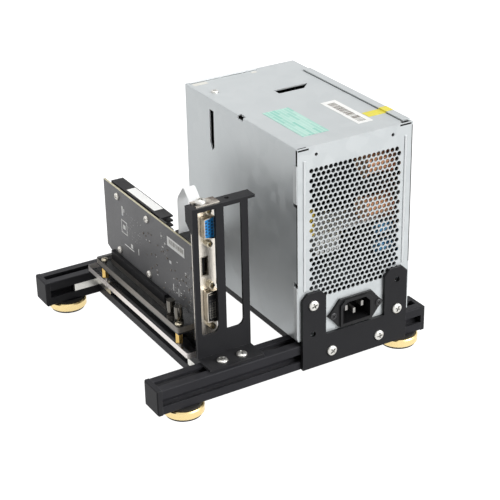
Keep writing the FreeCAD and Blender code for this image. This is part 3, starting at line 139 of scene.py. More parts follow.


# %% [markdown]
# ## Effects that many finishes share
# Paint, plastic and metal all vary a little from place to place. One group gives broad patches and a fine grain
# that can be stretched along a bar. A second finds the outer edges, where handling rubs a finish thin; the colour
# put there is partly wear and partly a painted highlight. A third draws the copper tracks under a board's coating,
# a fourth lays a little dust on what faces up, which on the nickel is painted shade instead, and a fifth tells a
# sheet's faces from its cut edges by the way they look.

# %% Group: patches and grain
patchy, given, out = new_group(
    "patches_and_grain",
    [("Patch scale", "Float", 20.0), ("Grain scale", "Float", 900.0), ("Stretch", "Vector", (1.0, 1.0, 1.0))],
    [("Patches", "Float"), ("Grain", "Float")],
)
place = add(patchy, "ShaderNodeTexCoord").outputs["Object"]
broad = add(patchy, "ShaderNodeTexNoise", {"Vector": place, "Scale": given["Patch scale"], "Detail": 4.0})
stretched = add(patchy, "ShaderNodeVectorMath", {0: place, 1: given["Stretch"]}, operation="MULTIPLY").outputs[0]
fine = add(patchy, "ShaderNodeTexNoise", {"Vector": stretched, "Scale": given["Grain scale"], "Detail": 3.0})
patchy.links.new(remap(patchy, broad.outputs[0], 0.3, 0.7), out["Patches"])
patchy.links.new(remap(patchy, fine.outputs[0], 0.25, 0.75), out["Grain"])
print("group:", patchy.name)

# %% Group: edge wear and painted highlight
edge_wear_and_highlight_group, given, out = new_group(
    "edge_wear_and_highlight",
    [("Width", "Float", 0.0006), ("Scale", "Float", 120.0), ("Amount", "Float", 1.0)],
    [("Mask", "Float")],
)
flat_normal = add(edge_wear_and_highlight_group, "ShaderNodeNewGeometry").outputs["True Normal"]
soft_normal = add(edge_wear_and_highlight_group, "ShaderNodeBevel", {"Radius": given["Width"]}, samples=4).outputs[0]
alike = add(edge_wear_and_highlight_group, "ShaderNodeVectorMath", {0: flat_normal, 1: soft_normal}, operation="DOT_PRODUCT").outputs["Value"]
edge = remap(edge_wear_and_highlight_group, alike, 0.995, 0.82)
place = add(edge_wear_and_highlight_group, "ShaderNodeTexCoord").outputs["Object"]
rubbed = add(edge_wear_and_highlight_group, "ShaderNodeTexNoise", {"Vector": place, "Scale": given["Scale"], "Detail": 4.0}).outputs[0]
patches = remap(edge_wear_and_highlight_group, rubbed, 0.38, 0.62)
mask = math_node(edge_wear_and_highlight_group, "MULTIPLY", math_node(edge_wear_and_highlight_group, "MULTIPLY", edge, patches), given["Amount"], clamp=True)
edge_wear_and_highlight_group.links.new(mask, out["Mask"])
print("group:", edge_wear_and_highlight_group.name)

# %% Group: copper tracks
tracks, given, out = new_group(
    "copper_tracks",
    [("Scale", "Float", 260.0), ("Lines", "Float", 7.0), ("Thin", "Float", 0.14), ("Thick", "Float", 0.22)],
    [("Mask", "Float")],
)
place = add(tracks, "ShaderNodeTexCoord").outputs["Object"]
blocks = add(tracks, "ShaderNodeTexVoronoi", {"Vector": place, "Scale": given["Scale"]}, distance="MANHATTAN")
bands = math_node(tracks, "FRACT", math_node(tracks, "MULTIPLY", blocks.outputs["Distance"], given["Lines"]))
from_middle = math_node(tracks, "ABSOLUTE", math_node(tracks, "SUBTRACT", bands, 0.5))
tracks.links.new(remap(tracks, from_middle, given["Thin"], given["Thick"]), out["Mask"])
print("group:", tracks.name)

# %% Group: settled dust, also painted shade on what faces up
dust_and_shade_group, given, out = new_group("settled_dust_and_painted_shade", [("Scale", "Float", 60.0), ("Amount", "Float", 0.1)], [("Mask", "Float")])
facing = add(dust_and_shade_group, "ShaderNodeNewGeometry").outputs["True Normal"]
up = remap(dust_and_shade_group, add(dust_and_shade_group, "ShaderNodeSeparateXYZ", {0: facing}).outputs["Z"], 0.5, 0.95)
place = add(dust_and_shade_group, "ShaderNodeTexCoord").outputs["Object"]
specks = add(dust_and_shade_group, "ShaderNodeTexNoise", {"Vector": place, "Scale": given["Scale"], "Detail": 8.0}).outputs[0]
lying = math_node(dust_and_shade_group, "MULTIPLY", up, remap(dust_and_shade_group, specks, 0.4, 0.75))
dust_and_shade_group.links.new(math_node(dust_and_shade_group, "MULTIPLY", lying, given["Amount"], clamp=True), out["Mask"])
print("group:", dust_and_shade_group.name)

# %% Group: which way a surface looks
looking, given, out = new_group(
    "looking_along",
    [("Axis", "Vector", (1.0, 0.0, 0.0)), ("Low", "Float", 0.3), ("High", "Float", 0.9)],
    [("Mask", "Float")],
)
normal = add(looking, "ShaderNodeNewGeometry").outputs["True Normal"]
along = add(looking, "ShaderNodeVectorMath", {0: normal, 1: given["Axis"]}, operation="DOT_PRODUCT").outputs["Value"]
either_way = math_node(looking, "ABSOLUTE", along)
looking.links.new(remap(looking, either_way, given["Low"], given["High"]), out["Mask"])
print("group:", looking.name)

# %% [markdown]
# ## One recipe for plain finishes
# Anodised bars, powder-coated sheet, moulded plastic, rubber and plated steel differ in colour, roughness, grain and
# in what shows where they are rubbed or cut. So one recipe takes those values and each finish gets its own set.

# %% The recipe
DUST_COLOUR = (0.42, 0.41, 0.39, 1)
finishes = {}


def finish(name, light, dark, rough, metal=0.0, patch=20.0, grain=900.0, stretch=(1, 1, 1), bump=0.1,
           depth=0.00008, edge=None, edge_width=0.0006, edge_amount=0.6, dust=0.0, specular=0.5, recess=None,
           dust_and_shade_colour=DUST_COLOUR, cut=None):
    """A finish from two close colours, a roughness range, a grain and what shows at its edges, filed by name."""
    material, tree, shader = new_material(name)
    shader.inputs["Metallic"].default_value = metal
    shader.inputs["Specular IOR Level"].default_value = specular
    own = {"Patch scale": patch, "Grain scale": grain, "Stretch": stretch}
    surface = add(tree, "ShaderNodeGroup", own, node_tree=patchy)
    colour = mix_colours(tree, surface.outputs["Patches"], (*light, 1), (*dark, 1))
    # The edge colour is partly rubbed wear and partly a painted highlight along the edges.
    if edge:
        worn_and_highlit_edge = add(tree, "ShaderNodeGroup", {"Width": edge_width, "Amount": edge_amount}, node_tree=edge_wear_and_highlight_group)
        colour = mix_colours(tree, worn_and_highlit_edge.outputs["Mask"], colour, (*edge, 1))
    # The dust colour is settled dust; where it is dark and strong it is painted shade on what faces up.
    if dust:
        dust_and_shade_film = add(tree, "ShaderNodeGroup", {"Amount": dust}, node_tree=dust_and_shade_group)
        colour = mix_colours(tree, dust_and_shade_film.outputs["Mask"], colour, dust_and_shade_colour)
    # Faces looking along X take the cut colour: dull cut steel, and on the nickel partly painted shade as well.
    if cut:
        sideways = add(tree, "ShaderNodeGroup", {"Low": 0.7, "High": 0.9}, node_tree=looking).outputs["Mask"]
        colour = mix_colours(tree, sideways, colour, (*cut, 1))
    # The recess colour is painted shade on a marked recess floor.
    if recess:
        recess_painted_shade = add(tree, "ShaderNodeAttribute", attribute_name="recess").outputs["Fac"]
        colour = mix_colours(tree, recess_painted_shade, colour, (*recess, 1))
    tree.links.new(colour, shader.inputs["Base Color"])
    tree.links.new(remap(tree, surface.outputs["Grain"], 0.0, 1.0, *rough), shader.inputs["Roughness"])
    add_relief(tree, shader, surface.outputs["Grain"], bump, depth)
    finishes[name] = material
    return material


# %% Black metal: bars, caps, sheet and fins
# The pale edge colour of the black finishes is partly wear and partly a painted highlight.
bar_values = {"edge": (0.16, 0.16, 0.17), "edge_width": 0.0005, "edge_amount": 0.45, "dust": 0.03, "bump": 0.18,
              "specular": 0.09}
finish(
    "bar_left_to_right", (0.029, 0.029, 0.033), (0.021, 0.021, 0.024), (0.34, 0.50),
    grain=2600.0, stretch=(0.012, 1, 1), **bar_values)
finish(
    "bar_front_to_back", (0.029, 0.029, 0.033), (0.021, 0.021, 0.024), (0.34, 0.50),
    grain=2600.0, stretch=(1, 0.012, 1), **bar_values)
finish(
    "cap_grey", (0.028, 0.028, 0.031), (0.020, 0.020, 0.022), (0.44, 0.60), grain=1600.0, edge=(0.09, 0.09, 0.09),
    specular=0.12)
finish(
    "sheet_black", (0.027, 0.027, 0.029), (0.020, 0.020, 0.022), (0.36, 0.52), grain=1400.0, bump=0.25,
    edge=(0.14, 0.14, 0.15), edge_width=0.0004, dust=0.03, specular=0.09)
finish(
    "heatsink_black", (0.018, 0.018, 0.020), (0.012, 0.012, 0.013), (0.36, 0.52), grain=2200.0, stretch=(1, 0.02, 1),
    edge=(0.10, 0.10, 0.11), edge_width=0.0003, dust=0.05, specular=0.12)
print("black metal finishes:", len(finishes))

# %% Plated and turned metal
# Each recess colour below is painted shade in a screw's cross recess.
finish(
    "steel", (0.76, 0.75, 0.71), (0.62, 0.61, 0.58), (0.24, 0.42), metal=0.9, patch=160.0, grain=2400.0, bump=0.08,
    recess=(0.30, 0.30, 0.29))
finish(
    "warm_steel", (0.62, 0.56, 0.43), (0.42, 0.38, 0.29), (0.22, 0.38), metal=0.95, patch=260.0, grain=2400.0,
    bump=0.08, edge=(0.20, 0.17, 0.12), edge_width=0.0007, edge_amount=0.9, recess=(0.03, 0.026, 0.02))
finish(
    "bright_steel", (0.97, 0.94, 0.88), (0.88, 0.85, 0.78), (0.22, 0.36), metal=0.4, patch=260.0, grain=2400.0,
    bump=0.08, edge=(0.20, 0.17, 0.12), edge_width=0.0004, edge_amount=0.5, recess=(0.03, 0.026, 0.02))
finish(
    "blackened_steel", (0.040, 0.040, 0.042), (0.022, 0.022, 0.024), (0.28, 0.44), metal=0.5, patch=260.0, grain=2400.0,
    edge=(0.25, 0.25, 0.25), recess=(0.005, 0.005, 0.005))
finish(
    "dull_plate", (0.42, 0.41, 0.39), (0.30, 0.29, 0.28), (0.26, 0.42), metal=0.9, patch=200.0, grain=2400.0)
finish(
    "foot_gold", (0.92, 0.74, 0.38), (0.84, 0.65, 0.31), (0.20, 0.34), metal=0.95, patch=30.0, grain=3200.0,
    stretch=(0.02, 0.02, 1), bump=0.16, edge=(0.95, 0.82, 0.55), edge_amount=0.7)
finish(
    "brass", (0.72, 0.50, 0.18), (0.58, 0.39, 0.13), (0.24, 0.40), metal=1.0, patch=200.0, grain=2400.0)
# On the nickel, the dark dust colour at amount 1.6 is painted shade on what faces up. The dark cut colour on its
# sideways faces is partly dull cut steel and partly painted shade.
finish(
    "nickel", (0.99, 0.93, 0.83), (0.94, 0.88, 0.78), (0.24, 0.36), metal=0.6, patch=60.0, grain=2200.0,
    stretch=(1, 1, 0.03), bump=0.12, edge=(0.75, 0.72, 0.66), dust=1.6, dust_and_shade_colour=(0.13, 0.105, 0.085, 1),
    cut=(0.17, 0.16, 0.145))
finish(
    "socket_metal", (0.58, 0.52, 0.43), (0.42, 0.37, 0.30), (0.20, 0.34), metal=0.95, patch=140.0, grain=2600.0,
    edge=(0.80, 0.80, 0.78))
finish(
    "sink_grey", (0.86, 0.86, 0.85), (0.76, 0.76, 0.75), (0.34, 0.50), metal=0.15, grain=2200.0, stretch=(0.02, 1, 1))
print("metal finishes so far:", len(finishes))

# %% Plastics and rubber
finish(
    "plastic_black", (0.012, 0.012, 0.013), (0.008, 0.008, 0.009), (0.34, 0.50), grain=1800.0, bump=0.2,
    edge=(0.07, 0.07, 0.07), dust=0.02, specular=0.22)
finish(
    "can_black", (0.010, 0.010, 0.012), (0.006, 0.006, 0.007), (0.06, 0.11), patch=200.0, grain=1200.0, bump=0.04,
    edge=(0.45, 0.43, 0.38), edge_width=0.0004, edge_amount=1.0)
finish(
    "can_gloss", (0.17, 0.16, 0.14), (0.13, 0.12, 0.105), (0.07, 0.12), metal=0.85, patch=200.0, grain=1200.0,
    bump=0.04)
finish(
    "rubber_black", (0.026, 0.025, 0.024), (0.015, 0.015, 0.015), (0.70, 0.92), grain=1200.0, bump=0.35, specular=0.3)
finish(
    "blue_plastic", (0.035, 0.40, 0.96), (0.028, 0.34, 0.86), (0.34, 0.48), patch=240.0, grain=2400.0)
finish(
    "film_yellow", (0.78, 0.55, 0.06), (0.62, 0.42, 0.05), (0.22, 0.40), patch=200.0, grain=1200.0)
finish(
    "blue_coat", (0.14, 0.46, 0.78), (0.10, 0.36, 0.66), (0.18, 0.34), patch=220.0, grain=1400.0)
print("finishes so far:", len(finishes))

# %% [markdown]
# ## Galvanised sheet
# The supply's box is bare zinc-coated steel, glossy enough to mirror the dark card softly. Its crystals show as faint
# flakes about a centimetre wide, and handling leaves soft stains and a few fine rolling lines. A Voronoi texture
# gives each flake a shade of its own. The perforated front is a sheet of its own, and its zinc colours are scaled
# up by 7 % as painted light.

# %% Finish: zinc sheet
def zinc_finish(name, pale=1.0):
    """Bare zinc, with its colours scaled up by a factor that paints light on the sheet."""
    def tint(*colour):
        return (*(pale * part for part in colour), 1)

    material, tree, shader = new_material(name)
    shader.inputs["Metallic"].default_value = 0.48
    shader.inputs["Specular IOR Level"].default_value = 0.12
    place = add(tree, "ShaderNodeTexCoord").outputs["Object"]
    wobble = add(tree, "ShaderNodeTexNoise", {"Vector": place, "Scale": 160.0, "Detail": 2.0}).outputs["Color"]
    bent = add(tree, "ShaderNodeVectorMath", {0: wobble, 1: (0.006, 0.006, 0.006), 2: place}, operation="MULTIPLY_ADD")
    flakes = add(tree, "ShaderNodeTexVoronoi", {"Vector": bent.outputs[0], "Scale": 105.0})
    shade = add(tree, "ShaderNodeSeparateColor", {0: flakes.outputs["Color"]}).outputs[0]
    own = {"Patch scale": 16.0, "Grain scale": 1500.0, "Stretch": (1.0, 0.05, 0.6)}
    surface = add(tree, "ShaderNodeGroup", own, node_tree=patchy)
    colour = mix_colours(tree, shade, tint(0.560, 0.590, 0.599), tint(0.594, 0.622, 0.630))
    stain = math_node(tree, "MULTIPLY", surface.outputs["Patches"], 0.22)
    colour = mix_colours(tree, stain, colour, tint(0.46, 0.49, 0.505))
    # The pale edge colour is partly wear and partly a painted highlight.
    worn_and_highlit_edge = add(tree, "ShaderNodeGroup", {"Width": 0.0007, "Amount": 0.2}, node_tree=edge_wear_and_highlight_group)
    colour = mix_colours(tree, worn_and_highlit_edge.outputs["Mask"], colour, (0.80, 0.81, 0.81, 1))
    tree.links.new(colour, shader.inputs["Base Color"])
    gloss = math_node(tree, "ADD", remap(tree, shade, 0.0, 1.0, 0.27, 0.36), math_node(tree, "MULTIPLY", stain, 0.3))
    tree.links.new(gloss, shader.inputs["Roughness"])
    add_relief(tree, shader, surface.outputs["Grain"], 0.10, 0.00006)
    return material


finishes["zinc_sheet"] = zinc_finish("zinc_sheet")
# The front sheet's zinc is 7 % paler, as painted light.
finishes["zinc_front_painted_light"] = zinc_finish("zinc_front_painted_light", 1.07)
print("finishes:", finishes["zinc_sheet"].name, finishes["zinc_front_painted_light"].name)

# %% [markdown]
# ## Clear dock plates
# Acrylic sheet is nearly invisible through its faces and bright at its sawn edges, which gather light and mirror what
# is round them. That gathered light is painted into the edges' colour: near white on the lower plate, told by its
# height, and a darker beige on the upper plate as painted shade. The surface normal tells a face from an edge, so
# the finish is thin where the plate faces up or down.

# %% Finish: clear acrylic
def acrylic_finish(name):
    material, tree, shader = new_material(name)
    shader.inputs["Metallic"].default_value = 0.75
    shader.inputs["Specular IOR Level"].default_value = 0.08
    upright = {"Axis": (0.0, 0.0, 1.0), "Low": 0.3, "High": 0.9}
    face = add(tree, "ShaderNodeGroup", upright, node_tree=looking).outputs["Mask"]
    own = {"Grain scale": 1800.0, "Stretch": (0.1, 0.1, 1.0)}
    surface = add(tree, "ShaderNodeGroup", own, node_tree=patchy)
    # The sawn edges' colour is painted light: near white below 35 mm, and darker above as painted shade.
    sawn_edge_light_and_shade = mix_colours(tree, surface.outputs["Grain"], (0.22, 0.205, 0.185, 1), (0.31, 0.29, 0.265, 1))
    place = add(tree, "ShaderNodeTexCoord").outputs["Object"]
    lower = remap(tree, add(tree, "ShaderNodeSeparateXYZ", {0: place}).outputs["Z"], 0.036, 0.035)
    sawn_edge_light_and_shade = mix_colours(tree, lower, sawn_edge_light_and_shade, (0.95, 0.90, 0.87, 1))
    tree.links.new(mix_colours(tree, face, sawn_edge_light_and_shade, (0.06, 0.06, 0.06, 1)), shader.inputs["Base Color"])
    tree.links.new(remap(tree, face, 0.0, 1.0, 0.90, 0.14), shader.inputs["Alpha"])
    tree.links.new(remap(tree, face, 0.0, 1.0, 0.45, 0.06), shader.inputs["Roughness"])
    return material


finishes["acrylic"] = acrylic_finish("acrylic")
print("finish:", finishes["acrylic"].name)

# %% [markdown]
# ## Circuit board
# A dark solder mask covers copper tracks, which show as thin raised lines that turn at right angles. The group for
# tracks uses a Voronoi texture measured in city blocks, so no single track has to be drawn.

# %% Finish: circuit board
def board_finish(name):
    material, tree, shader = new_material(name)
    own = {"Scale": 260.0, "Lines": 7.0, "Thin": 0.14, "Thick": 0.22}
    track = add(tree, "ShaderNodeGroup", own, node_tree=tracks).outputs["Mask"]
    surface = add(tree, "ShaderNodeGroup", {"Patch scale": 50.0}, node_tree=patchy)
    ground = mix_colours(tree, surface.outputs["Patches"], (0.018, 0.019, 0.020, 1), (0.027, 0.028, 0.029, 1))
    lines = math_node(tree, "MULTIPLY", track, surface.outputs["Patches"])
    tree.links.new(mix_colours(tree, lines, ground, (0.040, 0.043, 0.044, 1)), shader.inputs["Base Color"])
    tree.links.new(remap(tree, surface.outputs["Grain"], 0.0, 1.0, 0.30, 0.46), shader.inputs["Roughness"])
    add_relief(tree, shader, track, 0.25, 0.00005)
    return material


def card_finish(name):
    """A smooth grey solder mask, with pale glass fibre at the cut edges."""
    material, tree, shader = new_material(name)
    shader.inputs["Specular IOR Level"].default_value = 0.35
    cut = add(tree, "ShaderNodeGroup", {"Low": 0.7, "High": 0.4}, node_tree=looking).outputs["Mask"]
    own = {"Scale": 210.0, "Lines": 6.0, "Thin": 0.16, "Thick": 0.24}
    track = add(tree, "ShaderNodeGroup", own, node_tree=tracks).outputs["Mask"]
    surface = add(tree, "ShaderNodeGroup", {"Patch scale": 34.0}, node_tree=patchy)
    ground = mix_colours(tree, surface.outputs["Patches"], (0.086, 0.086, 0.090, 1), (0.108, 0.108, 0.112, 1))
    lines = math_node(tree, "MULTIPLY", track, math_node(tree, "MULTIPLY", surface.outputs["Patches"], 0.5))
    ground = mix_colours(tree, lines, ground, (0.140, 0.140, 0.146, 1))
    tree.links.new(mix_colours(tree, cut, ground, (0.52, 0.48, 0.34, 1)), shader.inputs["Base Color"])
    tree.links.new(remap(tree, surface.outputs["Grain"], 0.0, 1.0, 0.32, 0.46), shader.inputs["Roughness"])
    add_relief(tree, shader, track, 0.2, 0.00004)
    return material


finishes["board_dark"] = board_finish("board_dark")
finishes["card_grey"] = card_finish("card_grey")
print("finishes:", finishes["board_dark"].name, finishes["card_grey"].name)

# %% [markdown]
# ## Copper windings and flat cable
# Enamelled wire lies in close turns round each coil, so a fine wave across the coil's axis gives the ridges and the
# colour's bands, which paint a highlight on each turn and shade between the turns. The flat cable gets its ridges
# from real geometry later, so its finish is only soft vinyl.

# %% Finish: copper wire and cable vinyl
def winding_finish(name):
    material, tree, shader = new_material(name)
    shader.inputs["Metallic"].default_value = 0.15
    place = add(tree, "ShaderNodeTexCoord").outputs["Object"]
    turns = add(tree, "ShaderNodeTexWave", {"Vector": place, "Scale": 380.0, "Distortion": 1.2, "Detail": 1.0})
    ridge = turns.outputs[1]
    # The lighter colour on each ridge is a painted highlight, the darker one painted shade between turns.
    colour = mix_colours(tree, ridge, (0.80, 0.30, 0.12, 1), (1.00, 0.56, 0.30, 1))
    tree.links.new(colour, shader.inputs["Base Color"])
    surface = add(tree, "ShaderNodeGroup", node_tree=patchy)
    tree.links.new(remap(tree, surface.outputs["Grain"], 0.0, 1.0, 0.22, 0.40), shader.inputs["Roughness"])
    add_relief(tree, shader, ridge, 0.6, 0.0003)
    return material


finishes["copper_wire"] = winding_finish("copper_wire")
finish(
    "ribbon_grey", (0.95, 0.96, 0.96), (0.90, 0.91, 0.91), (0.30, 0.42), metal=0.3, patch=120.0, grain=1400.0)
print("finishes:", len(finishes))

# %% Give every solid its finish
special = {"card_board": "card_grey", "adapter_capacitors": "can_gloss", "mains_inlet_pins": "dull_plate",
           "jack_screws": "warm_steel"}
for node_name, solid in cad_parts.items():
    slot_name = solid.data.materials[0].name.split(".")[0]
    if slot_name == "rail_black":
        along_x = node_name in ("front_rail", "rear_rail")
        slot_name = "bar_left_to_right" if along_x else "bar_front_to_back"
    slot_name = special.get(node_name, slot_name)
    solid.data.materials[0] = finishes[slot_name]
print("solids finished:", len(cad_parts))

# %% [markdown]
# ## Small helpers for pieces
# A piece keeps its place in its mesh and its object stays at the origin, as the solids do. Sizes are written in
# millimetres and scaled once when the mesh is made.

# %% Piece helpers
def new_piece(name, mesh, slot_name, *replaced, body="frame"):
    piece = bpy.data.objects.new(name, mesh)
    scene.collection.objects.link(piece)
    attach(piece, body)
    if replaced:
        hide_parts(*replaced)
    triangles = sum(len(face.vertices) - 2 for face in mesh.polygons)
    print("piece:", name, triangles, "triangles")
    return piece


def mesh_from(build, name, material=None):
    """A mesh from a bmesh in millimetres, with faces outward."""
    bmesh.ops.recalc_face_normals(build, faces=build.faces)
    bmesh.ops.scale(build, vec=(MM, MM, MM), verts=build.verts)
    mesh = bpy.data.meshes.new(name)
    build.to_mesh(mesh)
    build.free()
    if material:
        mesh.materials.append(material)
    return mesh


def add_block(build, low, high, edge=0.0, steps=2):
    """A box between two corners, its edges rounded."""
    made = bmesh.ops.create_cube(build, size=1.0)
    size = Vector(high) - Vector(low)
    middle = (Vector(high) + Vector(low)) / 2
    for vert in made["verts"]:
        vert.co = Vector((vert.co.x * size.x, vert.co.y * size.y, vert.co.z * size.z)) + middle
    if edge:
        edges = list({line for vert in made["verts"] for line in vert.link_edges})
        bmesh.ops.bevel(build, geom=edges, offset=edge, segments=steps, affect="EDGES", profile=0.6)


def add_ring(build, radius, height, sides):
    """A ring of vertices about the Z axis."""
    angles = [2 * math.pi * i / sides for i in range(sides)]
    return [build.verts.new((radius * math.cos(a), radius * math.sin(a), height)) for a in angles]


def join_rings(build, rings):
    sides = len(rings[0])
    for lower, upper in zip(rings, rings[1:]):
        for i in range(sides):
            build.faces.new([lower[i], lower[(i + 1) % sides], upper[(i + 1) % sides], upper[i]])


# %% [markdown]
# ## Copies on seats
# Screws, pins, solder points and small parts repeat many times. One tree puts copies of a model on seats: each seat
# is a vertex with its own turn and size. Every tree here ends in real geometry with its finish set, because copies
# that stay instances would be lost when the part is saved.

# %% Start and end of a tree
def new_tree(name, carrier, inputs):
    """A tree that grows a mesh on a carrier, with the sockets of its inputs."""
    tree = bpy.data.node_groups.new(name, "GeometryNodeTree")
    for label, kind in ((carrier, "Geometry"), *inputs, ("Finish", "Material")):
        tree.interface.new_socket(label, in_out="INPUT", socket_type="NodeSocket" + kind)
    tree.interface.new_socket("Grown", in_out="OUTPUT", socket_type="NodeSocketGeometry")
    return tree, tree.nodes.new("NodeGroupInput").outputs


def end_tree(tree, grown, given):
    """Make copies real and set the finish."""
    real = add(tree, "GeometryNodeRealizeInstances", {0: grown}).outputs[0]
    dressed = add(tree, "GeometryNodeSetMaterial", {"Geometry": real, "Material": given["Finish"]}).outputs[0]
    tree.links.new(dressed, tree.nodes.new("NodeGroupOutput").inputs["Grown"])
    print("tree:", tree.name)


# %% The tree for copies
copies, given = new_tree("copies_on_seats", "Seats", [("Model", "Object"), ("Size", "Float")])
model = add(copies, "GeometryNodeObjectInfo", {"Object": given["Model"]}).outputs["Geometry"]
turn = add(copies, "GeometryNodeInputNamedAttribute", {"Name": "turn"}, data_type="FLOAT_VECTOR").outputs["Attribute"]
own = add(copies, "GeometryNodeInputNamedAttribute", {"Name": "size"}, data_type="FLOAT_VECTOR").outputs["Attribute"]
scaled = add(copies, "ShaderNodeVectorMath", {0: own, "Scale": given["Size"]}, operation="SCALE").outputs[0]
on_seats = add(copies, "GeometryNodeInstanceOnPoints",
               {"Points": given["Seats"], "Instance": model, "Rotation": turn, "Scale": scaled})
end_tree(copies, on_seats.outputs[0], given)


# %% Running a tree
def grown_mesh(tree, carrier_mesh, values):
    """The plain mesh that a tree makes from a carrier mesh."""
    carrier = bpy.data.objects.new("carrier", carrier_mesh)
    scene.collection.objects.link(carrier)
    modifier = carrier.modifiers.new("grow", "NODES")
    modifier.node_group = tree
    for item in tree.interface.items_tree:
        if item.in_out == "INPUT" and item.name in values:
            modifier[item.identifier] = values[item.name]
    evaluated = carrier.evaluated_get(bpy.context.evaluated_depsgraph_get())
    mesh = bpy.data.meshes.new_from_object(evaluated)
    carrier.modifiers.remove(modifier)
    bpy.data.objects.remove(carrier)
    return mesh


def copies_mesh(model_mesh, seats, material, size=1.0):
    """Copies of a model on seats: (place in mm, outward direction, spin in degrees, size or (x, y, z) sizes)."""
    carrier_mesh = bpy.data.meshes.new("seats")
    carrier_mesh.from_pydata([Vector(seat[0]) * MM for seat in seats], [], [])
    turns = carrier_mesh.attributes.new("turn", "FLOAT_VECTOR", "POINT")
    sizes = carrier_mesh.attributes.new("size", "FLOAT_VECTOR", "POINT")
    for index, (place, outward, spin, own_size) in enumerate(seats):
        turned = Vector(outward).to_track_quat("Z", "Y") @ Euler((0, 0, math.radians(spin))).to_quaternion()
        turns.data[index].vector = Vector(turned.to_euler())
        sizes.data[index].vector = own_size if isinstance(own_size, tuple) else (own_size,) * 3
    model_object = bpy.data.objects.new("model", model_mesh)
    scene.collection.objects.link(model_object)
    mesh = grown_mesh(copies, carrier_mesh, {"Model": model_object, "Size": size, "Finish": material})
    bpy.data.objects.remove(model_object)
    return mesh


# %% [markdown]
# ## Screws with a cross recess
# The real screws are plated, with low domed heads and a cross recess. The head's top is a disc cut round the cross,
# lifted into a dome, and the recess has sloping walls and a floor, marked so that the finish paints shade on it. A
# boolean would do it too, but this keeps few faces.

# %% Model: cross-recess screw
def cross_screw_mesh(head_radius, head_height, shank_radius, shank_length, sides=24):
    arm, half = 0.60 * head_radius, 0.15 * head_radius
    corners = [(half, arm), (-half, arm), (-half, half), (-arm, half), (-arm, -half), (-half, -half),
               (-half, -arm), (half, -arm), (half, -half), (arm, -half), (arm, half), (half, half)]
    points = []
    for share in (1.0, 0.93, 0.78):
        points += [(head_radius * share * math.cos(2 * math.pi * i / sides),
                    head_radius * share * math.sin(2 * math.pi * i / sides)) for i in range(sides)]
    first = len(points)
    points += corners
    borders = [(i, (i + 1) % sides) for i in range(sides)]
    borders += [(first + i, first + (i + 1) % 12) for i in range(12)]
    spots, _, faces, *_ = delaunay_2d_cdt([Vector(p) for p in points], borders, [], 1, 1e-5)

    def dome(spot):
        share = min(spot.length / head_radius, 1.0)
        return head_height * (0.38 + 0.62 * math.sqrt(max(0.0, 1.0 - share ** 2.6)))

    def in_cross(spot):
        x, y = abs(spot.x), abs(spot.y)
        return (x < half and y < arm) or (y < half and x < arm)

    build = bmesh.new()
    recess_painted_shade = build.verts.layers.float.new("recess")
    top = [build.verts.new((spot.x, spot.y, dome(spot))) for spot in spots]
    for face in faces:
        middle = sum((spots[i] for i in face), Vector((0, 0))) / 3
        if not in_cross(middle):
            build.faces.new([top[i] for i in face])
    rim = [top[i] for i in range(sides)]
    recess = [top[first + i] for i in range(12)]
    floor = [build.verts.new((vert.co.x * 0.75, vert.co.y * 0.75, head_height * 0.42)) for vert in recess]
    for i in range(12):
        build.faces.new([recess[i], recess[(i + 1) % 12], floor[(i + 1) % 12], floor[i]])
    build.faces.new(floor)
    for vert in floor:
        vert[recess_painted_shade] = 1.0
    rings = [rim]
    for radius, height in ((head_radius, 0.0), (shank_radius, 0.0), (shank_radius, -shank_length)):
        rings.append(add_ring(build, radius, height, sides))
    join_rings(build, rings)
    build.faces.new(rings[-1])
    return mesh_from(build, "cross_screw")


front, top_side, under, back, left = (0, -1, 0), (0, 0, 1), (0, 0, -1), (0, 1, 0), (-1, 0, 0)
large_screw = cross_screw_mesh(4.0, 2.2, 1.95, 5.0)
small_screw = cross_screw_mesh(2.75, 1.8, 1.4, 3.0)
print("screw faces:", len(large_screw.polygons))

# %% Screws of the plate, the stand and the clamp
plate_front, box_back, box_top = -107.5, 53.5, 183.4
inlet_x, inlet_z, inlet_screw_reach = 49.4, 47.2, 20.0
fan_x, fan_z, fan_screw_reach = 48.9, 128.4, 35.75
plate_seats = [((x, plate_front, z), front, spin, 1.0)
               for x, z, spin in ((11.9, 61.5, 20), (85.9, 37.5, 65), (27.9, 19.5, 40), (69.9, 19.5, 5))]
stand_seats = [((-57.2, -95, 31.5), top_side, 30, 1.0), ((-41.2, -95, 31.5), top_side, 75, 1.0)]
clamp_seat = [((-61.21, -78.5, 149.3), top_side, 12, 1.0)]
clamp_screw = cross_screw_mesh(4.0, 3.4, 1.65, 4.0)
steel = finishes["steel"]
new_piece("supply_plate_cross_screws", copies_mesh(large_screw, plate_seats, steel), "steel", "supply_plate_screws")
new_piece("stand_cross_screws", copies_mesh(large_screw, stand_seats, steel), "steel", "stand_screws")
new_piece("clamp_cross_screw", copies_mesh(clamp_screw, clamp_seat, steel), "steel", "card_clamp_screw")

# %% Screws of the dock, the heatsink, the inlet and the case
dock_seats = [((-59.1, y, 34.0), top_side, spin, 1.0) for y, spin in ((-69, 15), (77.5, 50))]
dock_small = [((x, y, 48.7), top_side, 7 * x + y, 1.0) for x in (-72.3, -45.9) for y in (-59, 63)]
dock_small += [((x, y, 29.5), under, 5 * x + y, 1.0) for x in (-72.3, -45.9) for y in (-59, 63)]
dock_mesh = bpy.data.meshes.new("dock_cross_screws")
joined = bmesh.new()
joined.from_mesh(copies_mesh(large_screw, dock_seats, steel))
joined.from_mesh(copies_mesh(small_screw, dock_small, steel))
joined.to_mesh(dock_mesh)
joined.free()
dock_mesh.materials.append(finishes["warm_steel"])
new_piece("dock_cross_screws", dock_mesh, "steel", "dock_screws")
sink_screw = cross_screw_mesh(2.8, 1.8, 1.35, 5.0)
board_face = -62.91
sink_holes = [(y, z) for y in (3.15, 52.55) for z in (59.85, 105.35)]
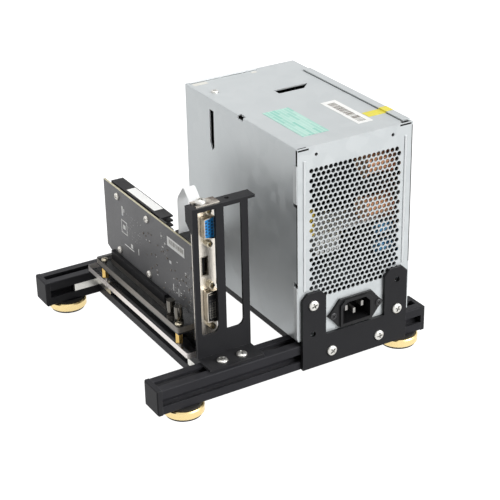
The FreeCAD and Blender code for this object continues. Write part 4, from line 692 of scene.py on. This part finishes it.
sink_seats = [((board_face, y, z), left, 3 * y + z, 1.0) for y, z in sink_holes]
sink_mesh = copies_mesh(sink_screw, sink_seats, finishes["bright_steel"])
new_piece("heatsink_cross_screws", sink_mesh, "steel", "heatsink_screws")
inlet_screw = cross_screw_mesh(2.75, 1.2, 1.4, 6.0)
inlet_seats = [((inlet_x + side * inlet_screw_reach, -107.0, inlet_z), front, spin, 1.0)
               for side, spin in ((-1, 35), (1, 80))]
inlet_mesh = copies_mesh(inlet_screw, inlet_seats, finishes["blackened_steel"])
new_piece("inlet_cross_screws", inlet_mesh, "steel", "mains_inlet_screws")
case_seats = [((9.8, 24.5, box_top), top_side, 25, 1.0)]
fan_corners = [(u, w) for u in (-fan_screw_reach, fan_screw_reach) for w in (-fan_screw_reach, fan_screw_reach)]
case_seats += [((fan_x + u, box_back, fan_z + w), back, u + 2 * w, 1.0) for u, w in fan_corners]
new_piece("case_cross_screws", copies_mesh(small_screw, case_seats, steel), "steel", "supply_case_screws")

# %% [markdown]
# ## The perforated front
# Cooling air enters through hundreds of small round holes in staggered rows. Cutting each one would be slow, so
# the tree draws the sheet's outline and all the holes as flat curves, fills what lies between, and then gives the
# sheet its thickness. Rows and columns, hole size and pitches are inputs.

# %% The tree for a perforated sheet
sheet_tree, given = new_tree("perforated_sheet", "Outlines", [
    ("Columns", "Int"), ("Rows", "Int"), ("Column pitch", "Float"), ("Row pitch", "Float"), ("Hole radius", "Float"),
    ("Middle", "Vector"), ("Thickness", "Float")])
column_gaps = math_node(sheet_tree, "SUBTRACT", given["Columns"], 1.0)
wide = math_node(sheet_tree, "MULTIPLY", column_gaps, given["Column pitch"])
row_gaps = math_node(sheet_tree, "SUBTRACT", given["Rows"], 1.0)
tall = math_node(sheet_tree, "MULTIPLY", row_gaps, given["Row pitch"])
grid = add(sheet_tree, "GeometryNodeMeshGrid", {"Size X": wide, "Size Y": tall, "Vertices X": given["Columns"],
                                                "Vertices Y": given["Rows"]}).outputs[0]
position = add(sheet_tree, "GeometryNodeInputPosition").outputs[0]
height = add(sheet_tree, "ShaderNodeSeparateXYZ", {0: position}).outputs[1]
lifted = math_node(sheet_tree, "ADD", height, math_node(sheet_tree, "MULTIPLY", tall, 0.5))
row = math_node(sheet_tree, "ROUND", math_node(sheet_tree, "DIVIDE", lifted, given["Row pitch"]))
shift = math_node(sheet_tree, "MULTIPLY", math_node(sheet_tree, "MODULO", row, 2.0), 0.5)
aside = add(sheet_tree, "ShaderNodeCombineXYZ", {0: math_node(sheet_tree, "MULTIPLY", shift, given["Column pitch"])})
moved = add(sheet_tree, "ShaderNodeVectorMath", {0: aside.outputs[0], 1: given["Middle"]}, operation="ADD").outputs[0]
spots = add(sheet_tree, "GeometryNodeSetPosition", {"Geometry": grid, "Offset": moved}).outputs[0]
hole = {"Resolution": 10, "Radius": given["Hole radius"]}
ring = add(sheet_tree, "GeometryNodeCurvePrimitiveCircle", hole).outputs[0]
rings = add(sheet_tree, "GeometryNodeInstanceOnPoints", {"Points": spots, "Instance": ring}).outputs[0]
rings = add(sheet_tree, "GeometryNodeRealizeInstances", {0: rings}).outputs[0]
outline = add(sheet_tree, "GeometryNodeMeshToCurve", {"Mesh": given["Outlines"]}).outputs[0]
lines = add(sheet_tree, "GeometryNodeJoinGeometry")
sheet_tree.links.new(rings, lines.inputs[0])
sheet_tree.links.new(outline, lines.inputs[0])
filled = add(sheet_tree, "GeometryNodeFillCurve", {0: lines.outputs[0]}).outputs[0]
raised = add(sheet_tree, "GeometryNodeExtrudeMesh", {"Mesh": filled, "Offset Scale": given["Thickness"],
                                                     "Individual": False}).outputs[0]
under_face = add(sheet_tree, "GeometryNodeFlipFaces", {0: filled}).outputs[0]
closed = add(sheet_tree, "GeometryNodeJoinGeometry")
sheet_tree.links.new(raised, closed.inputs[0])
sheet_tree.links.new(under_face, closed.inputs[0])
welded = add(sheet_tree, "GeometryNodeMergeByDistance", {"Geometry": closed.outputs[0], "Distance": 0.00002}).outputs[0]
end_tree(sheet_tree, welded, given)

# %% Outlines of the front sheet
def circle_points(x, y, radius, sides=16):
    return [(x + radius * math.cos(2 * math.pi * i / sides), y + radius * math.sin(2 * math.pi * i / sides))
            for i in range(sides)]


panel_low, panel_high = (corner / MM for corner in (Vector(c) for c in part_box("supply_grille_panel")))
inlet_half, inlet_tall, inlet_cut = 14.3, 10.8, 4.0
panel_loops = [
    [(panel_low.x, panel_low.z), (panel_high.x, panel_low.z),
     (panel_high.x, panel_high.z), (panel_low.x, panel_high.z)],
    [(inlet_x + x, inlet_z + z) for x, z in (
        (-inlet_half, -inlet_tall), (inlet_half, -inlet_tall), (inlet_half, inlet_tall - inlet_cut),
        (inlet_half - inlet_cut, inlet_tall), (inlet_cut - inlet_half, inlet_tall),
        (-inlet_half, inlet_tall - inlet_cut))],
]
for x, z, radius in ((15.8, 176.9, 1.3), (80.3, 176.9, 1.3), (inlet_x - inlet_screw_reach, inlet_z, 1.65),
                     (inlet_x + inlet_screw_reach, inlet_z, 1.65), (11.9, 37.5, 2.2), (85.9, 37.5, 2.2),
                     (11.9, 61.5, 2.2), (85.9, 61.5, 2.2)):
    panel_loops.append(circle_points(x, z, radius))
corners, edges = [], []
for loop in panel_loops:
    start = len(corners)
    corners += [(x * MM, z * MM, 0.0) for x, z in loop]
    edges += [(start + i, start + (i + 1) % len(loop)) for i in range(len(loop))]
outline_mesh = bpy.data.meshes.new("panel_outlines")
outline_mesh.from_pydata(corners, edges, [])
print("outlines:", len(panel_loops))

# %% The front sheet itself
hole_columns, hole_rows = 19, 27
panel_mesh = grown_mesh(sheet_tree, outline_mesh, {
    "Columns": hole_columns, "Rows": hole_rows, "Column pitch": 4.02 * MM, "Row pitch": 3.80 * MM,
    "Hole radius": 1.76 * MM, "Middle": Vector((47.98, 115.9, 0.0)) * MM, "Thickness": 1.0 * MM,
    "Finish": finishes["zinc_front_painted_light"]})
upright = Matrix.Translation((0, panel_high.y * MM, 0)) @ Matrix.Rotation(math.radians(90), 4, "X")
panel_mesh.transform(upright)
new_piece("perforated_front", panel_mesh, "zinc_sheet", "supply_grille_panel")
print("holes:", hole_columns * hole_rows)

# %% [markdown]
# ## The flat cable
# A grey flat cable folds from the top socket down to a header on the card. It is formed and held at both ends. Its
# middle line is a Bezier curve with short bends, and the tree lays a row of round wires along it, each touching
# the next.

# %% The tree for a flat cable
cable_tree, given = new_tree("flat_cable", "Middle line", [
    ("Wires", "Int"), ("Pitch", "Float"), ("Wire radius", "Float")])
middle_line = add(cable_tree, "GeometryNodeMeshToCurve", {"Mesh": given["Middle line"]}).outputs[0]
middle_line = add(cable_tree, "GeometryNodeSetCurveNormal", {"Curve": middle_line}, mode="Z_UP").outputs[0]
span = math_node(cable_tree, "MULTIPLY", math_node(cable_tree, "SUBTRACT", given["Wires"], 1.0), given["Pitch"])
half_span = math_node(cable_tree, "MULTIPLY", span, 0.5)
row_start = add(cable_tree, "ShaderNodeCombineXYZ", {0: math_node(cable_tree, "MULTIPLY", half_span, -1.0)}).outputs[0]
row_step = add(cable_tree, "ShaderNodeCombineXYZ", {0: given["Pitch"]}).outputs[0]
row_values = {"Count": given["Wires"], "Start Location": row_start, "Offset": row_step}
row = add(cable_tree, "GeometryNodeMeshLine", row_values)
wire = add(cable_tree, "GeometryNodeCurvePrimitiveCircle", {"Resolution": 8, "Radius": given["Wire radius"]}).outputs[0]
profile = add(cable_tree, "GeometryNodeInstanceOnPoints", {"Points": row.outputs[0], "Instance": wire}).outputs[0]
profile = add(cable_tree, "GeometryNodeRealizeInstances", {0: profile}).outputs[0]
tubes = add(cable_tree, "GeometryNodeCurveToMesh", {"Curve": middle_line, "Profile Curve": profile, "Fill Caps": True})
end_tree(cable_tree, tubes.outputs[0], given)

# %% The flat cable itself
cable_x, fold_length = -57.21, 2.6
cable_corners = [Vector(c) for c in ((-66.0, 123.4), (-66.0, 141.5), (-54.5, 152.6), (-45.0, 140.5), (-45.0, 112.9))]
cable_stops = [(cable_corners[0], (cable_corners[1] - cable_corners[0]).normalized())]
for before, corner, after in zip(cable_corners, cable_corners[1:], cable_corners[2:]):
    arriving, leaving = (corner - before).normalized(), (after - corner).normalized()
    cable_stops += [(corner - fold_length * arriving, arriving), (corner + fold_length * leaving, leaving)]
cable_stops.append((cable_corners[-1], (cable_corners[-1] - cable_corners[-2]).normalized()))
cable_curve = bpy.data.curves.new("cable_line", "CURVE")
cable_curve.dimensions = "3D"
cable_curve.resolution_u = 6
spline = cable_curve.splines.new("BEZIER")
spline.bezier_points.add(len(cable_stops) - 1)
for stop, (spot, along) in zip(spline.bezier_points, cable_stops):
    reach = 0.55 * fold_length * along
    stop.co = Vector((cable_x, *spot)) * MM
    stop.handle_left = Vector((cable_x, *(spot - reach))) * MM
    stop.handle_right = Vector((cable_x, *(spot + reach))) * MM
line_object = bpy.data.objects.new("cable_line", cable_curve)
scene.collection.objects.link(line_object)
line_mesh = bpy.data.meshes.new_from_object(line_object.evaluated_get(bpy.context.evaluated_depsgraph_get()))
bpy.data.objects.remove(line_object)
cable_mesh = grown_mesh(cable_tree, line_mesh, {
    "Wires": 14, "Pitch": 0.64 * MM, "Wire radius": 0.34 * MM, "Finish": finishes["ribbon_grey"]})
new_piece("flat_cable", cable_mesh, "ribbon_grey", "ribbon_cable")
cable_xs = [vert.co.x for vert in cable_mesh.vertices]
print("cable width mm:", round((max(cable_xs) - min(cable_xs)) / MM, 2))

# %% [markdown]
# ## Labels
# Three paper labels lie on the supply's top and one on the heatsink. Each is a thin sheet with rounded edges. A Brick
# texture rules the mint one, plain raised bars cross the white one, and the amber one is folded over the box's lip.

# %% Finish: ruled paper
def paper_finish(name, paper, ink, bar_width, bar_height, share, turn=0.0):
    material, tree, shader = new_material(name)
    place = add(tree, "ShaderNodeTexCoord").outputs["Object"]
    turned = add(tree, "ShaderNodeMapping", {"Vector": place, "Rotation": (0, 0, math.radians(turn))}).outputs[0]
    bars = add(tree, "ShaderNodeTexBrick", {
        "Vector": turned, "Color1": (1, 1, 1, 1), "Color2": (0.2, 0.2, 0.2, 1), "Mortar": (0, 0, 0, 1), "Scale": 1.0,
        "Mortar Size": bar_height * share, "Mortar Smooth": 0.1, "Brick Width": bar_width, "Row Height": bar_height})
    shade = add(tree, "ShaderNodeSeparateColor", {0: bars.outputs["Color"]}).outputs[0]
    surface = add(tree, "ShaderNodeGroup", {"Patch scale": 60.0}, node_tree=patchy)
    sheet = mix_colours(tree, surface.outputs["Patches"], (*paper, 1), (*(0.93 * part for part in paper), 1))
    faint = math_node(tree, "MULTIPLY", shade, 0.75)
    tree.links.new(mix_colours(tree, faint, sheet, (*ink, 1)), shader.inputs["Base Color"])
    tree.links.new(remap(tree, surface.outputs["Grain"], 0.0, 1.0, 0.42, 0.60), shader.inputs["Roughness"])
    return material


mint_paper = paper_finish("mint_paper", (0.58, 0.79, 0.71), (0.14, 0.52, 0.42), 0.017, 0.0030, 0.11, 90)
white_paper = finish("white_paper", (0.94, 0.94, 0.92), (0.88, 0.88, 0.86), (0.45, 0.60), patch=60.0)
amber_paper = finish("amber_paper", (0.84, 0.74, 0.06), (0.76, 0.66, 0.09), (0.42, 0.58), patch=90.0)
bar_ink = finish("bar_ink", (0.26, 0.24, 0.21), (0.18, 0.165, 0.145), (0.5, 0.7), patch=90.0)
pale_tape = paper_finish("pale_tape", (0.72, 0.71, 0.66), (0.66, 0.65, 0.60), 0.010, 0.0040, 0.45)
print("papers and ink: 5")

# %% Labels on the supply and the heatsink
def label_piece(name, material, slot_name, *corners):
    build = bmesh.new()
    for low, high in corners:
        add_block(build, low, high, edge=0.04, steps=1)
    return new_piece(name, mesh_from(build, name, material), slot_name)


label_piece("mint_label", mint_paper, "zinc_sheet", ((16.3, -87, box_top), (38.3, -33, box_top + 0.15)))
label_piece("white_label", white_paper, "zinc_sheet", ((62.3, -88, box_top), (75.3, -39, box_top + 0.15)))
label_piece("amber_label", amber_paper, "zinc_sheet", ((76.3, -81, box_top), (91.3, -72, box_top + 0.15)),
            ((91.15, -81, box_top), (91.3, -72, 184.55)), ((91.15, -81, 184.4), (97.65, -72, 184.55)),
            ((97.5, -81, 173.0), (97.65, -72, 184.55)))
label_piece("heatsink_label", white_paper, "heatsink_black", ((-57.7, 0.5, 111.85), (-50.2, 46, 112.0)))

# %% Bars on the white label, and tape at the back edge
def slab_mesh():
    build = bmesh.new()
    add_block(build, (-0.5, -0.5, 0.0), (0.5, 0.5, 1.0), edge=0.02, steps=1)
    return mesh_from(build, "slab")


bar_chance = random.Random(5)
bar_seats, bar_y = [], -84.0
while bar_y < -43.0:
    bar_wide = bar_chance.choice((0.5, 0.5, 0.9, 1.4))
    bar_seats.append(((68.4, bar_y, box_top + 0.15), top_side, 0, (6.4, bar_wide, 0.04)))
    bar_y += bar_wide + bar_chance.choice((0.4, 0.5, 0.9))
new_piece("label_bars", copies_mesh(slab_mesh(), bar_seats, bar_ink), "zinc_sheet")
label_piece("edge_tape", pale_tape, "zinc_sheet", ((3.5, 44.0, box_top), (15.5, 49.0, box_top + 0.12)),
            ((55.0, 45.0, box_top), (59.5, 48.0, box_top + 0.12)))

# %% [markdown]
# ## Folds and seams of the box
# The cover's front edge is folded outward in two short strips, two long ribs stiffen the front, and one strip runs
# along the back edge of the top; their finish is a paler copy of the zinc, as painted light. Thin dark strips paint
# the shade in the gaps where the sheets meet. Strips and ribs are rounded bars, so that they catch the light along
# one side.

# %% Folds, ribs and seams
# The fold strips' finish is a paler copy of the zinc, as painted light along the folds.
fold_zinc_painted_light = finish(
    "fold_zinc_painted_light", (0.74, 0.765, 0.775), (0.68, 0.705, 0.715), (0.34, 0.48), metal=0.15, patch=40.0, grain=1500.0)
# The dark seam finish paints the shade in the gaps between sheets.
seam_painted_shade = finish("seam_painted_shade", (0.016, 0.015, 0.014), (0.008, 0.008, 0.008), (0.6, 0.8), patch=200.0, specular=0.1)
build = bmesh.new()
for low_z, high_z in ((142.5, 171.0), (35.0, 77.0)):
    add_block(build, (-0.5, -104.9, low_z), (0.3, -100.6, high_z), edge=0.35, steps=3)
for rib_x in (6.0, 91.6):
    add_block(build, (rib_x - 1.0, -105.5, 73.0), (rib_x + 1.0, -105.0, 174.0), edge=0.42, steps=3)
add_block(build, (3.0, 50.4, box_top), (62.0, 52.2, 184.2), edge=0.3, steps=3)
new_piece("folds_and_ribs", mesh_from(build, "folds_and_ribs", fold_zinc_painted_light), "zinc_sheet")
build = bmesh.new()
for low_corner, high_corner in (
    ((0.20, -104.6, 77.6), (0.34, -103.8, 142.0)), ((0.05, -104.9, 171.2), (0.34, -103.4, 182.6)),
    ((0.05, -104.9, 139.6), (0.34, -102.6, 142.2)), ((0.05, -104.9, 77.2), (0.34, -102.6, 79.6)),
    ((0.8, -105.06, 181.4), (9.6, -104.98, 182.6)), ((86.5, -105.06, 181.8), (96.2, -104.98, 183.0)),
    ((89.0, -103.9, 183.36), (96.0, -101.2, 183.46)), ((1.2, -104.4, 183.36), (8.0, -103.4, 183.44)),
    ((96.7, -105.06, 73.0), (97.3, -104.98, 181.0)), ((90.7, -100.5, 183.36), (91.3, 28.5, 183.46)),
    ((3.0, 49.9, 183.36), (62.0, 50.4, 183.44)),
):
    add_block(build, low_corner, high_corner, edge=0.01, steps=1)
new_piece("corner_seams", mesh_from(build, "corner_seams", seam_painted_shade), "zinc_sheet")

# %% [markdown]
# ## Sockets up close
# The blue socket has three rows of five pin holes, and the wide one has three rows of eight contacts and a flat
# blade. Each hole is a small cup with a raised rim, copied by the same tree as the screws. The blue socket's cups
# are dark blue, as painted shade inside its holes.

# %% Model: contact cup
def cup_mesh(radius, rim, depth, sides=10):
    build = bmesh.new()
    rings = []
    for size, height in ((radius, 0.0), (radius, rim), (0.72 * radius, rim), (0.55 * radius, rim - depth)):
        rings.append(add_ring(build, size, height, sides))
    join_rings(build, rings)
    build.faces.new(rings[-1])
    build.faces.new(rings[0])
    return mesh_from(build, "contact_cup")


# The dark blue of the pin holes is painted shade inside the holes.
pin_hole_painted_shade = finish("pin_hole_painted_shade", (0.013, 0.065, 0.19), (0.009, 0.042, 0.13), (0.4, 0.6), patch=300.0)
blue_cup = cup_mesh(0.74, 0.06, 0.05)
socket_face = -78.7
analog_x, analog_z, pin_pitch = -55.31, 128.6, 2.3
blue_seats = []
for column, shift in ((-pin_pitch, 0.0), (0.0, pin_pitch / 2), (pin_pitch, 0.0)):
    blue_seats += [((analog_x + column, socket_face, analog_z + pin_pitch * (step - 2) + shift), front, 0, 1.0)
                   for step in range(5)]
new_piece("analog_socket_pins", copies_mesh(blue_cup, blue_seats, pin_hole_painted_shade), "plastic_black")
wide_x, wide_z, contact_pitch = -54.71, 58.33, 1.95
wide_seats = [((wide_x + contact_pitch * (column - 1), socket_face, wide_z + contact_pitch * step), front, 0,
               (1.1, 1.1, 1.0)) for column in range(3) for step in range(8)]
new_piece("wide_socket_contacts", copies_mesh(blue_cup, wide_seats, finishes["can_black"]), "socket_metal")
build = bmesh.new()
add_block(build, (-57.6, socket_face - 0.12, 76.6), (-51.8, socket_face, 77.2), edge=0.05)
new_piece("wide_socket_blade", mesh_from(build, "wide_socket_blade", finishes["socket_metal"]), "socket_metal")

# %% Tongue of the compact socket
build = bmesh.new()
add_block(build, (-58.0, -72.0, 91.6), (-56.4, -64.6, 104.0), edge=0.15)
for step in range(10):
    z = 92.6 + 1.1 * step
    add_block(build, (-58.1, -71.6, z), (-58.0, -66.0, z + 0.5), edge=0.02, steps=1)
tongue_mesh = mesh_from(build, "compact_socket_tongue", finishes["plastic_black"])
new_piece("compact_socket_tongue", tongue_mesh, "plastic_black")

# %% [markdown]
# ## The card's back
# The side of the card that faces out is full of solder points, small ceramic parts and white printed marks. A fixed
# seed scatters them clear of the screws, in the loose rows that a real board has.

# %% Where small parts may sit
chance = random.Random(11)
keep_clear = [(y, z, 5.0) for y, z in sink_holes]


def free_spot(y, z, room):
    return all(math.hypot(y - cy, z - cz) > radius + room for cy, cz, radius in keep_clear)


solder_seats = []
for row_y, row_z, count, step, rows in ((-63, 58, 3, 2.0, 16), (-26, 88, 4, 2.2, 8), (14, 78, 10, 2.6, 8),
                                        (-50, 62, 10, 2.3, 3)):
    for i in range(count):
        for j in range(rows):
            y, z = row_y + i * step, row_z + j * step
            if free_spot(y, z, 1.0) and chance.random() < 0.55:
                solder_seats.append(((board_face, y, z), left, 0, chance.uniform(0.5, 0.95)))
print("solder points:", len(solder_seats))

# %% Model: solder point, and the points on the board
def bead_mesh(radius, height, sides=8):
    build = bmesh.new()
    rings = []
    for share in (1.0, 0.72, 0.35):
        z = height * math.sqrt(1 - share * share) if share < 1 else 0.0
        rings.append(add_ring(build, radius * share, z, sides))
    join_rings(build, rings)
    build.faces.new(rings[-1])
    build.faces.new(rings[0])
    return mesh_from(build, "solder_bead")


solder = finish("solder", (0.46, 0.46, 0.44), (0.30, 0.30, 0.29), (0.28, 0.45), metal=0.8, patch=300.0)
new_piece("solder_points", copies_mesh(bead_mesh(0.45, 0.35), solder_seats, solder), "socket_metal")

# %% Small ceramic parts
def chip_part_mesh():
    """A small ceramic part with two bright ends, 2 mm long, lying on its seat."""
    build = bmesh.new()
    add_block(build, (-0.62, -0.60, 0.0), (0.62, 0.60, 0.70), edge=0.06, steps=1)
    for side in (-1, 1):
        add_block(build, (side * 0.81 - 0.19, -0.64, 0.0), (side * 0.81 + 0.19, 0.64, 0.76), edge=0.06, steps=1)
    return mesh_from(build, "chip_part")


part_seats = []
while len(part_seats) < 34:
    y, z = chance.uniform(-66, 10), chance.uniform(58, 95)
    if free_spot(y, z, 2.0):
        part_seats.append(((board_face, y, z), left, chance.choice((0, 90)), chance.uniform(0.45, 0.75)))
        keep_clear.append((y, z, 1.6))
ceramic = finish("ceramic", (0.34, 0.30, 0.25), (0.16, 0.14, 0.12), (0.4, 0.6), patch=300.0)
new_piece("ceramic_parts", copies_mesh(chip_part_mesh(), part_seats, ceramic), "board_dark")

# %% White printed marks and a barred label on the board
print_white = finish("print_white", (0.92, 0.92, 0.90), (0.80, 0.80, 0.78), (0.5, 0.7), patch=200.0)
build = bmesh.new()
marks = [(44.0, 92.0, 2.0, 8.0), (41.6, 95.5, 1.2, 3.0), (47.1, 78.0, 0.8, 9.5), (38.0, 78.0, 0.8, 9.5),
         (38.0, 77.2, 9.9, 0.8), (38.0, 87.5, 9.9, 0.8), (41.0, 81.0, 4.0, 3.6), (28.0, 67.8, 16.0, 0.9),
         (29.5, 69.6, 3.4, 3.4), (19.5, 68.5, 1.0, 5.2), (-33.6, 83.6, 3.0, 2.4), (-20.0, 100.0, 1.6, 1.6),
         (-25.0, 96.0, 1.4, 1.4), (-22.0, 92.0, 2.4, 0.9), (-36.0, 63.0, 1.0, 5.6), (-44.0, 61.5, 1.0, 6.4)]
for index in range(18):
    marks.append((chance.uniform(-62, 6), chance.uniform(60, 90), chance.uniform(0.8, 2.2), 0.7))
for y, z, along, tall in marks:
    add_block(build, (board_face - 0.03, y, z), (board_face, y + along, z + tall))
new_piece("printed_marks", mesh_from(build, "printed_marks", print_white), "board_dark")
label_piece("board_label", white_paper, "board_dark", ((board_face - 0.12, -54.5, 97.2), (board_face, -28.5, 104.8)))
bar_seats, bar_y = [], -52.5
while bar_y < -31.0:
    bar_wide = bar_chance.choice((0.4, 0.4, 0.7, 1.0))
    bar_seats.append(((board_face - 0.12, bar_y, 101.6), left, 0, (bar_wide, 3.6, 0.03)))
    bar_y += bar_wide + bar_chance.choice((0.4, 0.5, 0.8))
new_piece("board_label_bars", copies_mesh(slab_mesh(), bar_seats, bar_ink), "board_dark")

# %% [markdown]
# ## Floor and light
# The object stands on a white floor that runs to the horizon. The floor shows white to the camera, to mirrors and
# through clear plates, and stays a plain grey for bounced light, so that the box's low left side keeps its shade.

# %% Floor
def seen_directly(tree):
    """1 for what the camera sees, also in mirrors and through clear plates, and 0 for bounced light."""
    path = add(tree, "ShaderNodeLightPath").outputs
    shown = math_node(tree, "MAXIMUM", path["Is Camera Ray"], path["Is Glossy Ray"])
    return math_node(tree, "MAXIMUM", shown, path["Is Transmission Ray"])


build = bmesh.new()
bmesh.ops.create_grid(build, x_segments=1, y_segments=1, size=6000.0)
for vert in build.verts:
    vert.co.z = -0.05
floor_material, tree, shader = new_material("studio_floor")
shader.inputs["Base Color"].default_value = (0.22, 0.22, 0.22, 1)
shader.inputs["Roughness"].default_value = 1.0
shader.inputs["Specular IOR Level"].default_value = 0.0
shader.inputs["Emission Color"].default_value = (1, 1, 1, 1)
tree.links.new(seen_directly(tree), shader.inputs["Emission Strength"])
floor_mesh = mesh_from(build, "studio_floor", floor_material)
floor = bpy.data.objects.new("studio_floor", floor_mesh)
scene.collection.objects.link(floor)
print("floor set")

# %% World and lamps
world = bpy.data.worlds.new("studio")
scene.world = world
world.use_nodes = True
tree = world.node_tree
tree.links.new(remap(tree, seen_directly(tree), 0.0, 1.0, 0.15, 1.0), tree.nodes["Background"].inputs["Strength"])
tree.nodes["Background"].inputs["Color"].default_value = (1, 1, 1, 1)
sun_lamps = (("key", (0.50, -0.75, 0.42), 3.3, 50), ("top", (0.06, 0.10, 0.98), 0.90, 50))
for lamp_name, towards, strength, spread in sun_lamps:
    lamp_data = bpy.data.lights.new(lamp_name, "SUN")
    lamp_data.energy = strength
    lamp_data.angle = math.radians(spread)
    lamp = bpy.data.objects.new(lamp_name, lamp_data)
    lamp.rotation_euler = Vector(towards).to_track_quat("Z", "Y").to_euler()
    scene.collection.objects.link(lamp)
side_data = bpy.data.lights.new("left_rear", "AREA")
side_data.energy = 2.1
side_data.size = 0.30
side_lamp = bpy.data.objects.new("left_rear", side_data)
side_place = Vector((-0.34, 0.38, 0.44))
side_lamp.location = side_place
side_lamp.rotation_euler = (side_place - Vector((0.0, 0.02, 0.15))).to_track_quat("Z", "Y").to_euler()
side_lamp.visible_glossy = False
scene.collection.objects.link(side_lamp)
print("lamps: key, top and left rear")
